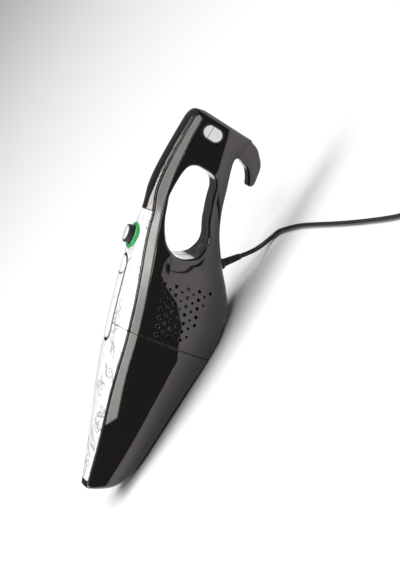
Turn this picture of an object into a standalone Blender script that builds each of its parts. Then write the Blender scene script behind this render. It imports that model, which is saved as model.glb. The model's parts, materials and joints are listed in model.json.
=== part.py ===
"""Corded handheld vacuum cleaner, built as separate named pieces.

Frame: +Z up, nose towards -X, rear end towards +X, width along Y.  The origin
is under the middle of the machine, on the surface that its flat underside
rests on.  Lengths in the tables are millimetres; MM turns them into metres.
"""
import math

import bmesh
import bpy
import numpy as np
from mathutils import Matrix, Vector

MM = 0.001

# ---------------------------------------------------------------- dimensions
X_NOSE, X_REAR = -204.8, 204.8      # overall length 409.6
WALL = 2.5                          # moulded wall
GAP = 0.3                           # gap between neighbouring pieces

# height of the cover's centre line, of the cover's edge, of the grey strip's
# lower edge and of the underside, against X
TOP = ((-204.8, 40.6), (-200, 42.4), (-195, 44.6), (-184, 49.4), (-160, 59.6), (-143, 66.7),
       (-92, 90.0), (-40, 109.5), (0, 122.6), (34, 133.0), (53, 137.2), (67, 139.6), (85, 143.0),
       (108, 149.5), (127, 152.2), (156, 153.3), (190, 153.6), (198, 152.6), (202.5, 149.6), (204.8, 145.0))
EDGE = ((-204.8, 38.6), (-200, 39.8), (-195, 41.4), (-184, 45.4), (-160, 54.2), (-143, 60.7),
        (-92, 80.4), (-40, 96.5), (34, 121.5), (51, 126.8), (67, 131.0), (85, 135.4),
        (108.6, 145.0), (127, 147.8), (156, 149.6), (190, 150.6), (198, 149.8), (202.5, 147.2), (204.8, 143.0))
STRIP = ((-204.8, 37.4), (-200, 36.6), (-184, 38.6), (-160, 45.5), (-140, 51.6), (-121, 58.6),
         (-78.6, 76.0), (-26.5, 92.0), (23, 109.0), (72, 123.6), (107, 133.6), (150, 141.0),
         (189, 143.6), (198, 143.0), (204.8, 138.0))
BOTTOM = ((-204.8, 36.4), (-202.5, 30.5), (-199, 24.0), (-195, 18.2), (-189, 12.0), (-182, 7.8), (-174, 4.6),
          (-165, 2.3), (-152, 0.8), (-142, 0.15), (-135, 0.0), (-60, 0.0), (0, 0.0), (10, 1.7), (19.5, 4.8), (36.8, 9.7),
          (45.4, 13.4), (51.9, 18.3), (59, 23.8), (65.4, 29.5), (72, 35.2), (85.6, 45.4), (99.8, 55.3),
          (115, 63.4), (131.2, 70.1), (148.2, 75.6), (164.9, 81.7), (176.8, 84.5), (188, 82.0), (204.8, 80.0))
# half widths: cover edge, strip's lower edge, widest line, flat underside
B_EDGE = ((-204.8, 12.0), (-200, 15.0), (-184, 18.4), (-160, 24.0), (-128, 30.2), (-104, 34.5), (-80, 39.0),
          (-45, 42.3), (-15, 42.6), (0, 41.4), (24, 36.5), (50, 27.6), (75, 20.6), (105, 18.4), (150, 18.2), (190, 17.6),
          (200, 16.0), (204.8, 12.0))
B_STRIP = ((-204.8, 13.0), (-200, 16.6), (-184, 20.8), (-160, 28.0), (-128, 35.4), (-104, 40.2), (-80, 44.7),
           (-45, 48.1), (0, 47.2), (24, 43.2), (50, 35.0), (75, 25.8), (105, 20.4), (150, 19.6), (190, 18.6),
           (200, 16.8), (204.8, 12.6))
B_WIDE = ((-204.8, 13.4), (-200, 17.6), (-184, 22.6), (-160, 30.2), (-128, 37.8), (-104, 42.4), (-80, 46.4),
          (-45, 49.4), (0, 49.5), (24, 47.4), (40, 44.0), (57, 37.6), (75, 29.0), (90, 24.0), (105, 21.4), (130, 20.2),
          (180, 19.2), (200, 17.2), (204.8, 13.0))
B_FLAT = ((-204.8, 9.0), (-189, 12.0), (-176, 13.0), (-154, 14.5), (-110, 17.0), (-60, 21.5), (-20, 26.0),
          (0, 25.5), (20, 22.0), (45, 18.0), (72, 13.0), (100, 10.0), (150, 9.0), (204.8, 8.0))
STATIONS = (-204.8, -202.5, -199.5, -195, -189, -181, -172, -160, -148, -135, -114, -91, -67, -45, -20, 0, 12, 24, 36,
            48, 58, 68, 80.7, 94, 110, 130, 150, 175.4, 190, 198.4, 202.2, 204.8)

# closed-loop handle opening and the moulded hook, outlines in X, Z
LOOP = ((57.3, 94.6), (58.2, 86.0), (61.5, 78.8), (66.5, 71.6), (73, 67.4), (84, 65.9), (93, 68.1), (100.4, 72.3),
        (108, 76.5), (116.4, 79.8), (124.5, 83.1), (132.6, 85.8), (141.8, 88.6), (148.2, 93.0), (151, 99.6),
        (151.4, 110.0), (150.6, 119.0), (146.2, 125.8), (138, 128.8), (123, 129.4), (108.5, 128.5), (100.3, 125.7),
        (83.3, 119.7), (68, 111.3), (61.2, 104.6))
HOOK = ((204.6, 84.0), (204.4, 79.5), (201, 69), (195, 62), (188.5, 56.2), (182, 53.6), (175.5, 52.4), (169.8, 51.2),
        (165.2, 51.2), (161.6, 54.0), (162.4, 57.9), (168.4, 61.0), (173.6, 64.5), (177.0, 68.5), (178.9, 73), (180.6, 79),
        (180.8, 84.0), (184.0, 90.0), (199.0, 90.0))
HOOK_HALF = 9.0

# seam between container and motor unit: through these two points, along Y
SEAM_TOP, SEAM_LOW = (-38.0, 110.0), (-19.7, 0.0)

# release latch lever, seen from above: a long oval
LATCH_X0, LATCH_X1, LATCH_R = -55.6, 30.6, 10.0
LATCH_PIN = (-6.0, 0.0)             # X of its pin; the height is set from the cover
LATCH_SWING = 3.5                   # degrees

# dial
DIAL_X, DIAL_TILT = 52.8, 11.0
DIAL_R, DIAL_H, RING_R = 10.5, 8.5, 14.5

# motor and fan line, along X
AXIS_Z = 58.0
FAN_R, CAN_R = 38.0, 28.0

# power button in the left flank
BUTTON = (188.0, 123.5)
BUTTON_W, BUTTON_H, BUTTON_TRAVEL = 14.5, 22.0, 2.0

# cord
CORD_D = 5.0
GLAND = (73.2, 37.0)
GLAND_DIR = (0.78, -0.626)
ROUTE = ((108.6, 0.0, 9.6), (118.5, -1.2, 5.3), (128.5, -5.4, 3.0), (136.8, -13.4, 2.5), (142.0, -26.0, 2.5), (152.6, -63.8, 2.5),
         (161.0, -108.9, 2.5), (170.0, -160.0, 2.5), (183.0, -225.0, 2.5), (197.0, -285.0, 2.5), (214.5, -335.0, 2.5), (222.4, -362.5, 2.5))
COIL_C = (262.0, -400.0)
COIL_R, COIL_W, COIL_H = 39.0, 24.0, 22.0

COL = bpy.data.collections


# ------------------------------------------------------------------- helpers
def clear_scene():
    for ob in list(bpy.data.objects):
        bpy.data.objects.remove(ob, do_unlink=True)
    for c in list(COL):
        COL.remove(c)


def collection(name):
    c = COL.new(name)
    bpy.context.scene.collection.children.link(c)
    return c


def curve_of(table):
    """Monotone cubic through a table of (x, value) pairs."""
    xs = np.array([p[0] for p in table], float)
    ys = np.array([p[1] for p in table], float)
    h = np.diff(xs)
    s = np.diff(ys) / h
    m = np.zeros(len(xs))
    m[0], m[-1] = s[0], s[-1]
    for i in range(1, len(xs) - 1):
        if s[i - 1] * s[i] > 0:
            w1, w2 = 2 * h[i] + h[i - 1], h[i] + 2 * h[i - 1]
            m[i] = (w1 + w2) / (w1 / s[i - 1] + w2 / s[i])

    def f(x):
        x = min(max(x, xs[0]), xs[-1])
        i = min(int(np.searchsorted(xs, x, side="right")) - 1, len(h) - 1)
        i = max(i, 0)
        t = (x - xs[i]) / h[i]
        return float((2 * t ** 3 - 3 * t ** 2 + 1) * ys[i] + (t ** 3 - 2 * t ** 2 + t) * h[i] * m[i]
                     + (-2 * t ** 3 + 3 * t ** 2) * ys[i + 1] + (t ** 3 - t ** 2) * h[i] * m[i + 1])
    return f


f_top, f_edge, f_strip, f_bot = curve_of(TOP), curve_of(EDGE), curve_of(STRIP), curve_of(BOTTOM)
f_b, f_s, f_w, f_f = curve_of(B_EDGE), curve_of(B_STRIP), curve_of(B_WIDE), curve_of(B_FLAT)
S_STEPS = (0.66, 0.38, 0.19, 0.065, 0.0)


def ring(x, t=0.0):
    """Cross-section at x, moved inwards by t: a closed ring of (y, z)."""
    zt, ze, zs, zb = f_top(x) - t, f_edge(x) - 0.95 * t, f_strip(x) - 0.35 * t, f_bot(x) + t
    b, ys, w, f = f_b(x) - 0.85 * t, f_s(x) - t, f_w(x) - t, max(f_f(x) - 0.55 * t, 3.0)
    zs = min(zs, ze - 2.0) if ze - zb > 6 else ze - 0.35 * (ze - zb)
    ze1 = ze - min(1.5, 0.3 * (ze - zs))
    half = [(0.52 * b, zt - (zt - ze) * 0.52 ** 2), (b, ze),
            (b + (ys - b) * 0.15, ze1), (ys, zs)]
    h = zs - zb
    half.append((w, zb + 0.8 * h))
    for s in S_STEPS:
        g = (1 - (1 - s) ** 2.2) ** 0.62 if s > 0 else 0.0
        half.append((f + (w - f) * g, zb + 0.8 * s * h))
    right = [(y, z) for y, z in half]
    left = [(-y, z) for y, z in reversed(half)]
    return [(0.0, zt)] + right + [(0.0, zb)] + left


def material(name, colour, rough, metal=0.0):
    m = bpy.data.materials.get(name)
    if m is None:
        m = bpy.data.materials.new(name)
        m.use_nodes = True
        p = m.node_tree.nodes["Principled BSDF"]
        p.inputs["Base Color"].default_value = (*colour, 1.0)
        p.inputs["Roughness"].default_value = rough
        p.inputs["Metallic"].default_value = metal
        m.diffuse_color = (*colour, 1.0)
    return m


LOOKS = {
    "black": ((0.008, 0.007, 0.007), 0.12, 0.0), "white": ((0.86, 0.86, 0.85), 0.25, 0.0),
    "grey": ((0.42, 0.41, 0.40), 0.45, 0.0), "green": ((0.02, 0.36, 0.11), 0.3, 0.0),
    "dark": ((0.03, 0.03, 0.03), 0.5, 0.0), "rubber": ((0.02, 0.02, 0.02), 0.8, 0.0),
    "steel": ((0.55, 0.55, 0.56), 0.35, 1.0), "copper": ((0.6, 0.26, 0.12), 0.4, 1.0),
    "cord": ((0.045, 0.04, 0.035), 0.6, 0.0), "silver": ((0.7, 0.7, 0.7), 0.25, 1.0),
    "board": ((0.02, 0.16, 0.06), 0.5, 0.0), "filter": ((0.8, 0.78, 0.72), 0.9, 0.0),
    "brass": ((0.6, 0.45, 0.18), 0.35, 1.0), "knob": ((0.06, 0.05, 0.052), 0.3, 0.0),
}


def finish(ob, look, smooth=30.0):
    """Give a piece its material and shading."""
    ob.data.materials.clear()
    ob.data.materials.append(material(ob.name + "_" + look, *LOOKS[look]))
    for p in ob.data.polygons:
        p.use_smooth = True
    ob.data.set_sharp_from_angle(angle=math.radians(smooth))
    return ob


def from_bmesh(bm, name, coll):
    me = bpy.data.meshes.new(name)
    bmesh.ops.recalc_face_normals(bm, faces=bm.faces)
    if bm.calc_volume(signed=True) < 0:
        bmesh.ops.reverse_faces(bm, faces=bm.faces)
    bm.to_mesh(me)
    bm.free()
    ob = bpy.data.objects.new(name, me)
    coll.objects.link(ob)
    if coll is CUT:
        ob.hide_render = True
        ob.display_type = 'WIRE'
    return ob


def loft(name, xs, t, coll, n_t=None):
    """Closed loft of cross-sections along X."""
    bm = bmesh.new()
    rows = [[bm.verts.new(Vector((x, y, z)) * MM) for y, z in ring(x, t)] for x in xs]
    n = len(rows[0])
    for a, b in zip(rows, rows[1:]):
        for i in range(n):
            bm.faces.new((a[i], a[(i + 1) % n], b[(i + 1) % n], b[i]))
    bm.faces.new(rows[0])
    bm.faces.new(rows[-1])
    bmesh.ops.triangulate(bm, faces=bm.faces, quad_method='FIXED')
    return from_bmesh(bm, name, coll)


def prism(name, outline, y0, y1, coll, axes="xz"):
    """A flat outline as a 2D curve with an extrude, turned into a mesh."""
    cu = bpy.data.curves.new(name, 'CURVE')
    cu.dimensions = '2D'
    cu.fill_mode = 'BOTH'
    cu.extrude = abs(y1 - y0) * 0.5 * MM
    sp = cu.splines.new('POLY')
    sp.points.add(len(outline) - 1)
    for p, (a, b) in zip(sp.points, outline):
        p.co = (a * MM, b * MM, 0.0, 1.0)
    sp.use_cyclic_u = True
    ob = bpy.data.objects.new(name + "_outline", cu)
    coll.objects.link(ob)
    mid = (y0 + y1) * 0.5 * MM
    if axes == "xz":
        ob.matrix_world = Matrix.Translation((0, mid, 0)) @ Matrix.Rotation(math.radians(90), 4, 'X')
    else:
        ob.matrix_world = Matrix.Translation((0, 0, mid))
    return meshed(ob, name, coll)


def meshed(curve_ob, name, coll):
    """Replace a curve object by its mesh, with its caps welded, in world space."""
    bpy.context.view_layer.update()
    dg = bpy.context.evaluated_depsgraph_get()
    me = bpy.data.meshes.new_from_object(curve_ob.evaluated_get(dg))
    mw = curve_ob.matrix_world.copy()
    bm = bmesh.new()
    bm.from_mesh(me)
    bmesh.ops.remove_doubles(bm, verts=bm.verts, dist=1e-6)
    bm.transform(mw)
    bpy.data.meshes.remove(me)
    bpy.data.objects.remove(curve_ob, do_unlink=True)
    return from_bmesh(bm, name, coll)


def boolean(ob, other, op, keep=False, solver='EXACT'):
    """Apply one Boolean to ob."""
    m = ob.modifiers.new("b", 'BOOLEAN')
    m.operation = op
    m.solver = solver
    m.object = other
    bpy.context.view_layer.update()
    dg = bpy.context.evaluated_depsgraph_get()
    me = bpy.data.meshes.new_from_object(ob.evaluated_get(dg))
    ob.modifiers.clear()
    bm = bmesh.new()
    bm.from_mesh(me)
    bmesh.ops.remove_doubles(bm, verts=bm.verts, dist=1e-6)
    bmesh.ops.dissolve_degenerate(bm, edges=bm.edges, dist=1e-6)
    bm.to_mesh(me)
    bm.free()
    old = ob.data
    ob.data = me
    bpy.data.meshes.remove(old)
    if not keep:
        bpy.data.objects.remove(other, do_unlink=True)
    return ob


def copy_of(ob, name, coll):
    me = ob.data.copy()
    new = bpy.data.objects.new(name, me)
    new.matrix_world = ob.matrix_world.copy()
    coll.objects.link(new)
    return new


def box(name, lo, hi, coll, bevel=0.0, seg=1, turn=None):
    """A box between two corners; bevelled edges; turn = (centre, axis, degrees)."""
    bm = bmesh.new()
    bmesh.ops.create_cube(bm, size=1.0)
    s = [(h - l) * MM for l, h in zip(lo, hi)]
    c = Vector([(h + l) * 0.5 * MM for l, h in zip(lo, hi)])
    bmesh.ops.scale(bm, vec=s, verts=bm.verts)
    if bevel:
        bmesh.ops.bevel(bm, geom=list(bm.edges), offset=bevel * MM, segments=seg, affect='EDGES', profile=0.5)
    bmesh.ops.translate(bm, vec=c, verts=bm.verts)
    if turn:
        bmesh.ops.rotate(bm, cent=Vector(turn[0]) * MM, verts=bm.verts,
                         matrix=Matrix.Rotation(math.radians(turn[2]), 3, turn[1]))
    return from_bmesh(bm, name, coll)


def frame_to(origin, axis):
    """Matrix that sends +Z to axis and the origin to a point in millimetres."""
    z = Vector(axis).normalized()
    q = Vector((0, 0, 1)).rotation_difference(z)
    return Matrix.Translation(Vector(origin) * MM) @ q.to_matrix().to_4x4()


def cyl(name, p0, p1, r, n, coll, r2=None):
    p0, p1 = Vector(p0) * MM, Vector(p1) * MM
    bm = bmesh.new()
    bmesh.ops.create_cone(bm, cap_ends=True, segments=n, radius1=r * MM, radius2=(r if r2 is None else r2) * MM,
                          depth=(p1 - p0).length)
    q = Vector((0, 0, 1)).rotation_difference((p1 - p0).normalized())
    bm.transform(Matrix.Translation((p0 + p1) * 0.5) @ q.to_matrix().to_4x4())
    return from_bmesh(bm, name, coll)


def turned(name, profile, origin, axis, steps, coll, closed=True):
    """A turned piece: a profile of (radius, height), outer side top to bottom,
    swept round by a Screw modifier."""
    me = bpy.data.meshes.new(name)
    n = len(profile)
    verts = [(r * MM, 0.0, h * MM) for r, h in profile]
    edges = [(i, i + 1) for i in range(n - 1)] + ([(n - 1, 0)] if closed else [])
    me.from_pydata(verts, edges, [])
    ob = bpy.data.objects.new(name, me)
    coll.objects.link(ob)
    m = ob.modifiers.new("turn", 'SCREW')
    m.axis = 'Z'
    m.steps = m.render_steps = steps
    m.use_merge_vertices = True
    m.merge_threshold = 1e-6
    m.use_smooth_shade = True
    bpy.context.view_layer.update()
    dg = bpy.context.evaluated_depsgraph_get()
    out = bpy.data.meshes.new_from_object(ob.evaluated_get(dg))
    bm = bmesh.new()
    bm.from_mesh(out)
    bmesh.ops.remove_doubles(bm, verts=bm.verts, dist=1e-6)
    bm.transform(frame_to(origin, axis))
    bpy.data.meshes.remove(out)
    bpy.data.objects.remove(ob, do_unlink=True)
    bpy.data.meshes.remove(me)
    return from_bmesh(bm, name, coll)


def tube(name, points, d, coll, res=2):
    """A round cord or wire along points, in millimetres."""
    cu = bpy.data.curves.new(name, 'CURVE')
    cu.dimensions = '3D'
    cu.fill_mode = 'FULL'
    cu.bevel_depth = d * 0.5 * MM
    cu.bevel_resolution = res
    cu.use_fill_caps = True
    sp = cu.splines.new('POLY')
    sp.points.add(len(points) - 1)
    for p, q in zip(sp.points, points):
        p.co = (q[0] * MM, q[1] * MM, q[2] * MM, 1.0)
    ob = bpy.data.objects.new(name + "_line", cu)
    coll.objects.link(ob)
    return meshed(ob, name, coll)


def smooth_line(pts, step):
    """Points every step along a centripetal spline through pts."""
    P = [np.array(p, float) for p in pts]
    P = [2 * P[0] - P[1]] + P + [2 * P[-1] - P[-2]]
    fine = []
    for i in range(1, len(P) - 2):
        p0, p1, p2, p3 = P[i - 1:i + 3]
        t0 = 0.0
        t1 = t0 + np.linalg.norm(p1 - p0) ** 0.5
        t2 = t1 + np.linalg.norm(p2 - p1) ** 0.5
        t3 = t2 + np.linalg.norm(p3 - p2) ** 0.5
        for t in np.linspace(t1, t2, 40, endpoint=False):
            a1 = (t1 - t) / (t1 - t0) * p0 + (t - t0) / (t1 - t0) * p1
            a2 = (t2 - t) / (t2 - t1) * p1 + (t - t1) / (t2 - t1) * p2
            a3 = (t3 - t) / (t3 - t2) * p2 + (t - t2) / (t3 - t2) * p3
            b1 = (t2 - t) / (t2 - t0) * a1 + (t - t0) / (t2 - t0) * a2
            b2 = (t3 - t) / (t3 - t1) * a2 + (t - t1) / (t3 - t1) * a3
            fine.append((t2 - t) / (t2 - t1) * b1 + (t - t1) / (t2 - t1) * b2)
    fine.append(P[-2])
    fine = np.array(fine)
    s = np.concatenate([[0], np.cumsum(np.linalg.norm(np.diff(fine, axis=0), axis=1))])
    n = max(2, int(round(s[-1] / step)))
    at = np.linspace(0, s[-1], n + 1)
    return [tuple(np.interp(a, s, fine[:, k]) for k in range(3)) for a in at]


def stadium(x0, x1, r, n=6):
    """Long oval outline between x0 and x1 with round ends of radius r."""
    pts = []
    for k in range(n + 1):
        a = -math.pi / 2 + math.pi * k / n
        pts.append((x1 - r + r * math.cos(a), r * math.sin(a)))
    for k in range(n + 1):
        a = math.pi / 2 + math.pi * k / n
        pts.append((x0 + r + r * math.cos(a), r * math.sin(a)))
    return pts


def grown(outline, t):
    """Closed outline with each point moved outwards by t (counter-clockwise or not)."""
    P = [Vector(p) for p in outline]
    area = sum(P[i].x * P[(i + 1) % len(P)].y - P[(i + 1) % len(P)].x * P[i].y for i in range(len(P)))
    sgn = 1.0 if area > 0 else -1.0
    out = []
    for i in range(len(P)):
        a, b, c = P[i - 1], P[i], P[(i + 1) % len(P)]
        n1 = Vector(((b - a).y, -(b - a).x)).normalized() * sgn
        n2 = Vector(((c - b).y, -(c - b).x)).normalized() * sgn
        n = (n1 + n2)
        n = n / max(n.length_squared, 1e-9) * 2.0
        out.append(tuple(b + n * t))
    return out


def seam_x(z, off=0.0):
    (xa, za), (xb, zb) = SEAM_TOP, SEAM_LOW
    n = math.hypot(xb - xa, zb - za)
    return xb + (xa - xb) * (z - zb) / (za - zb) + off * n / (za - zb)


def seam_slab(name, a, b, coll, y=80.0):
    """Slab between two planes parallel to the seam, at distances a and b behind it."""
    return prism(name, ((seam_x(-20, a), -20), (seam_x(-20, b), -20), (seam_x(180, b), 180), (seam_x(180, a), 180)),
                 -y, y, coll)


def join_to(ob, *others):
    for o in others:
        boolean(ob, o, 'UNION')
    return ob


# ------------------------------------------------------------ build the parts
clear_scene()
PART = collection("handheld_vacuum")
CUT = collection("cutters")


def band(name, top, low, x0, x1, coll, y=80.0, n=20):
    """Prism between two height curves from x0 to x1."""
    xs = [x0 + (x1 - x0) * i / n for i in range(n + 1)]
    return prism(name, [(x, top(x)) for x in xs] + [(x, low(x)) for x in reversed(xs)], -y, y, coll)


def region_above(name, x0, x1, y0=-80.0, y1=80.0, off=0.25, ends=None):
    """Prism above the cover edge; ends give slanted end lines as functions of z."""
    n = 24
    l = ends[0] if ends and ends[0] else (lambda z: x0)
    r = ends[1] if ends and ends[1] else (lambda z: x1)
    xa, xb = l(f_edge(x0)), r(f_edge(x1))
    xs = [xa + (xb - xa) * i / n for i in range(n + 1)]
    pts = [(x, f_edge(x) + off) for x in xs] + [(r(200.0), 200.0), (l(200.0), 200.0)]
    return prism(name, pts, y0, y1, CUT)


def make_mouth():
    """Suction mouth in the raked front face: a tapered box with rounded edges."""
    mouth_mid, mouth_ang = (-187.0, 13.5), 49.0
    t_dir = Vector((-math.cos(math.radians(mouth_ang)), 0, math.sin(math.radians(mouth_ang))))
    bm = bmesh.new()
    bmesh.ops.create_cube(bm, size=1.0)
    n_dir = Vector((-t_dir.z, 0, t_dir.x))
    for v in bm.verts:
        s, y, d = v.co.x, v.co.y, v.co.z
        half_w = 9.6 if s > 0 else 12.2
        p = Vector((mouth_mid[0], 0, mouth_mid[1])) + t_dir * (s * 29.0) + n_dir * (d * 16.0)
        v.co = Vector((p.x, (1 if y > 0 else -1) * half_w, p.z)) * MM
    bmesh.ops.recalc_face_normals(bm, faces=bm.faces)
    bmesh.ops.bevel(bm, geom=list(bm.edges), offset=2.4 * MM, segments=2, affect='EDGES', profile=0.5)
    mouth = from_bmesh(bm, "mouth", CUT)
    return mouth


def make_body():
    out = loft("outer", STATIONS, 0.0, CUT)
    hook = prism("hook", HOOK, -HOOK_HALF, HOOK_HALF, CUT)
    boolean(out, hook, 'UNION')
    g = Vector((GLAND[0], 0, GLAND[1]))
    d = Vector((GLAND_DIR[0], 0, GLAND_DIR[1])).normalized()
    boolean(out, cyl("gland_boss", g - d * 6.0, g + d * 2.2, 7.5, 20, CUT), 'UNION')
    boolean(out, prism("loop", LOOP, -60, 60, CUT), 'DIFFERENCE')
    cav = loft("cavity", [-199.0] + [x for x in STATIONS if -198 < x < 202] + [202.0], WALL, CUT)
    boolean(cav, prism("loop_wall", grown(LOOP, WALL), -60, 60, CUT), 'DIFFERENCE')
    boolean(cav, make_mouth(), 'UNION')
    boolean(out, cav, 'DIFFERENCE')
    return out


shell = make_body()


# --- regions
def below_edge_region(name, x0f, x1f, y0, y1, cap_front, cap_rear):
    """Prism below the cover edge between slanted ends, with full-height caps at nose and rear."""
    n = 24
    za = -20.0
    x_start = -198.5 if cap_front else x0f(f_edge(-34.0))
    x_end = 200.0 if cap_rear else x1f(f_edge(-34.0))
    xs = [x_start + (x_end - x_start) * i / n for i in range(n + 1)]
    pts = []
    if cap_front:
        pts += [(-230.0, za), (-230.0, 200.0), (x_start, 200.0)]
    else:
        pts += [(x0f(za), za)]
    pts += [(x, f_edge(x) - 0.05) for x in xs]
    if cap_rear:
        pts += [(x_end, 200.0), (230.0, 200.0), (230.0, za)]
    else:
        pts += [(x1f(za), za)]
    return prism(name, pts, y0, y1, CUT)


front_side = lambda z: seam_x(z, -0.2)
rear_side = lambda z: seam_x(z, 0.2)

container_shell = copy_of(shell, "container_shell", PART)
boolean(container_shell, below_edge_region("r1", None, front_side, -80, 80, True, False), 'INTERSECT')

container_cover = copy_of(shell, "container_cover", PART)
boolean(container_cover, region_above("r2", -198.2, -34.0, ends=(None, front_side)), 'INTERSECT')

rear_cover = copy_of(shell, "rear_cover", PART)
boolean(rear_cover, region_above("r3", -34.0, 199.7, ends=(rear_side, None)), 'INTERSECT')

housing_left = copy_of(shell, "housing_left", PART)
boolean(housing_left, below_edge_region("r4", rear_side, None, -80, -0.15, False, True), 'INTERSECT')
housing_right = copy_of(shell, "housing_right", PART)
boolean(housing_right, below_edge_region("r5", rear_side, None, 0.15, 80, False, True), 'INTERSECT')

# --- grey trim strips in a shallow recess of the flank
strip_top = lambda x: f_edge(x) - 2.2
strip_low = lambda x: f_strip(x) + 0.1
FRONT_TIP, REAR_END = -135.0, 197.5


def strip_outline(g):
    """Strip outline in X, Z: pointed front end, round rear end, grown by g."""
    n = 22
    xs = [FRONT_TIP - 1.5 * g + (REAR_END - 5.0 - FRONT_TIP) * i / n for i in range(n + 1)]
    top = [(x, strip_top(x) + g) for x in xs]
    x_low = -121.0 - g
    xl = [x_low + (REAR_END - 5.0 - x_low) * i / n for i in range(n + 1)]
    low = [(x, strip_low(x) - g) for x in xl]
    zc = 0.5 * (strip_top(REAR_END - 5) + strip_low(REAR_END - 5))
    hh = 0.5 * (strip_top(REAR_END - 5) - strip_low(REAR_END - 5)) + g
    arc = [(REAR_END - 5.0 + (5.0 + g) * math.cos(a), zc + hh * math.sin(a))
           for a in (math.radians(v) for v in (54, 18, -18, -54))]
    return top + arc + list(reversed(low))


layer_out = loft("layer_out", [x for x in STATIONS if x > -150], 0.0, CUT)
layer_12 = loft("layer_12", [x for x in STATIONS if x > -160][:-1] + [203.0], 1.2, CUT)
layer_15 = loft("layer_15", [x for x in STATIONS if x > -160][:-1] + [203.0], 1.5, CUT)
recess = prism("recess", strip_outline(0.3), -80, 80, CUT)
boolean(recess, layer_15, 'DIFFERENCE')
for ob in (container_shell, housing_left, housing_right):
    boolean(ob, recess, 'DIFFERENCE', keep=True)
bpy.data.objects.remove(recess, do_unlink=True)

band_solid = prism("band", strip_outline(0.0), -80, 80, CUT)
boolean(band_solid, layer_out, 'INTERSECT')
boolean(band_solid, layer_12, 'DIFFERENCE')


def half_space(name, front, y0, y1):
    if front:
        pts = ((-230, -20), (front_side(-20), -20), (front_side(200), 200), (-230, 200))
    else:
        pts = ((rear_side(-20), -20), (230, -20), (230, 200), (rear_side(200), 200))
    return prism(name, pts, y0, y1, CUT)


trims = []
for side, y0, y1 in (("left", -80, -5), ("right", 5, 80)):
    for part, front in (("front", True), ("rear", False)):
        t = copy_of(band_solid, "side_trim_%s_%s" % (side, part), PART)
        boolean(t, half_space("hs", front, y0, y1), 'INTERSECT')
        trims.append(t)
bpy.data.objects.remove(band_solid, do_unlink=True)


# --- openings in the housing: vents, gland, power button, screw bosses
VENT_A, VENT_U, VENT_V = (26.4, 91.9), (3.9, -13.1), (-8.4, -3.35)


def vent_centres():
    big, small = [], []
    for i in range(7):
        for j in range(5):
            x = VENT_A[0] + i * VENT_V[0] + j * VENT_U[0]
            z = VENT_A[1] + i * VENT_V[1] + j * VENT_U[1]
            if z > 38.0:
                big.append((x, z))
            xs, zs = x + 0.5 * (VENT_U[0] + VENT_V[0]), z + 0.5 * (VENT_U[1] + VENT_V[1])
            if zs > 38.0 and i < 6:
                small.append((xs, zs))
    return big, small


def vent_cutter(side):
    bm = bmesh.new()
    big, small = vent_centres()
    for pts, r in ((big, 1.75),):
        for x, z in pts:
            mat = Matrix.Translation(Vector((x, side * 46.0, z)) * MM) @ Matrix.Rotation(math.radians(90), 4, 'X')
            bmesh.ops.create_cone(bm, cap_ends=True, segments=4, radius1=1.1 * r * MM, radius2=1.1 * r * MM, depth=22 * MM,
                                  matrix=mat)
    return from_bmesh(bm, "vents", CUT)


boolean(housing_left, vent_cutter(-1), 'DIFFERENCE')
boolean(housing_right, vent_cutter(1), 'DIFFERENCE')

g0 = Vector((GLAND[0], 0, GLAND[1]))
gd = Vector((GLAND_DIR[0], 0, GLAND_DIR[1])).normalized()
gland_hole = cyl("gland_hole", g0 - gd * 14, g0 + gd * 6, 4.4, 16, CUT)
boolean(housing_left, gland_hole, 'DIFFERENCE', keep=True)
boolean(housing_right, gland_hole, 'DIFFERENCE')


def button_outline(g):
    r = BUTTON_W * 0.5 + g
    return [(BUTTON[0] + q, BUTTON[1] + p) for p, q in stadium(-BUTTON_H * 0.5 - g, BUTTON_H * 0.5 + g, r)]


boolean(housing_left, prism("button_hole", button_outline(2.0), -30, -8, CUT), 'DIFFERENCE')

SCREWS = ((14.0, 98.5), (30.0, 17.5), (85.3, 55.8), (92.0, 131.0), (160.0, 90.5), (193.0, 98.0))


def half_at(x, z):
    pts = [p for p in ring(x) if p[0] >= 0]
    zs = [p[1] for p in pts]
    ys = [p[0] for p in pts]
    for k in range(3, len(pts) - 1):
        if zs[k] >= z >= zs[k + 1]:
            f = (zs[k] - z) / max(zs[k] - zs[k + 1], 1e-9)
            return ys[k] + (ys[k + 1] - ys[k]) * f
    return max(ys)


layer_18 = loft("layer_18", [x for x in STATIONS if x > -40][:-1] + [202.6], 1.8, CUT)


def boss(p0, p1, r, n):
    """Screw boss that ends inside the wall."""
    return boolean(cyl("boss", p0, p1, r, n, CUT), layer_18, 'INTERSECT', keep=True)


for k, (x, z) in enumerate(SCREWS):
    yw = min(half_at(x, z + 4.6), half_at(x, z), half_at(x, z - 4.6))
    boolean(housing_right, boss((x, 0.45, z), (x, yw + 4.0, z), 4.4, 10), 'UNION', solver='MANIFOLD')
    boolean(housing_right, cyl("tunnel", (x, 7.0, z), (x, yw + 8.0, z), 3.4, 10, CUT), 'DIFFERENCE', solver='MANIFOLD')
    boolean(housing_right, cyl("shank_hole", (x, -2.0, z), (x, 9.0, z), 1.9, 8, CUT), 'DIFFERENCE', solver='MANIFOLD')
    boolean(housing_left, boss((x, -yw - 4.0, z), (x, -0.45, z), 3.4, 12), 'UNION', solver='MANIFOLD')
    boolean(housing_left, cyl("pilot", (x, -9.5, z), (x, 2.0, z), 1.8, 8, CUT), 'DIFFERENCE', solver='MANIFOLD')
    s = cyl("housing_screw_%d" % (k + 1), (x, 7.3, z), (x, 9.5, z), 2.9, 10, PART)
    boolean(s, cyl("shank", (x, -8.5, z), (x, 8.0, z), 1.45, 8, CUT), 'UNION')
    boolean(s, box("slot", (x - 2.0, 8.6, z - 0.35), (x + 2.0, 10.0, z + 0.35), CUT), 'DIFFERENCE')
    finish(s, "steel")

# --- release latch: lever, its openings in both covers, bed, keeper, pin, spring
lx = [-66 + 9 * i for i in range(13)]


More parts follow.
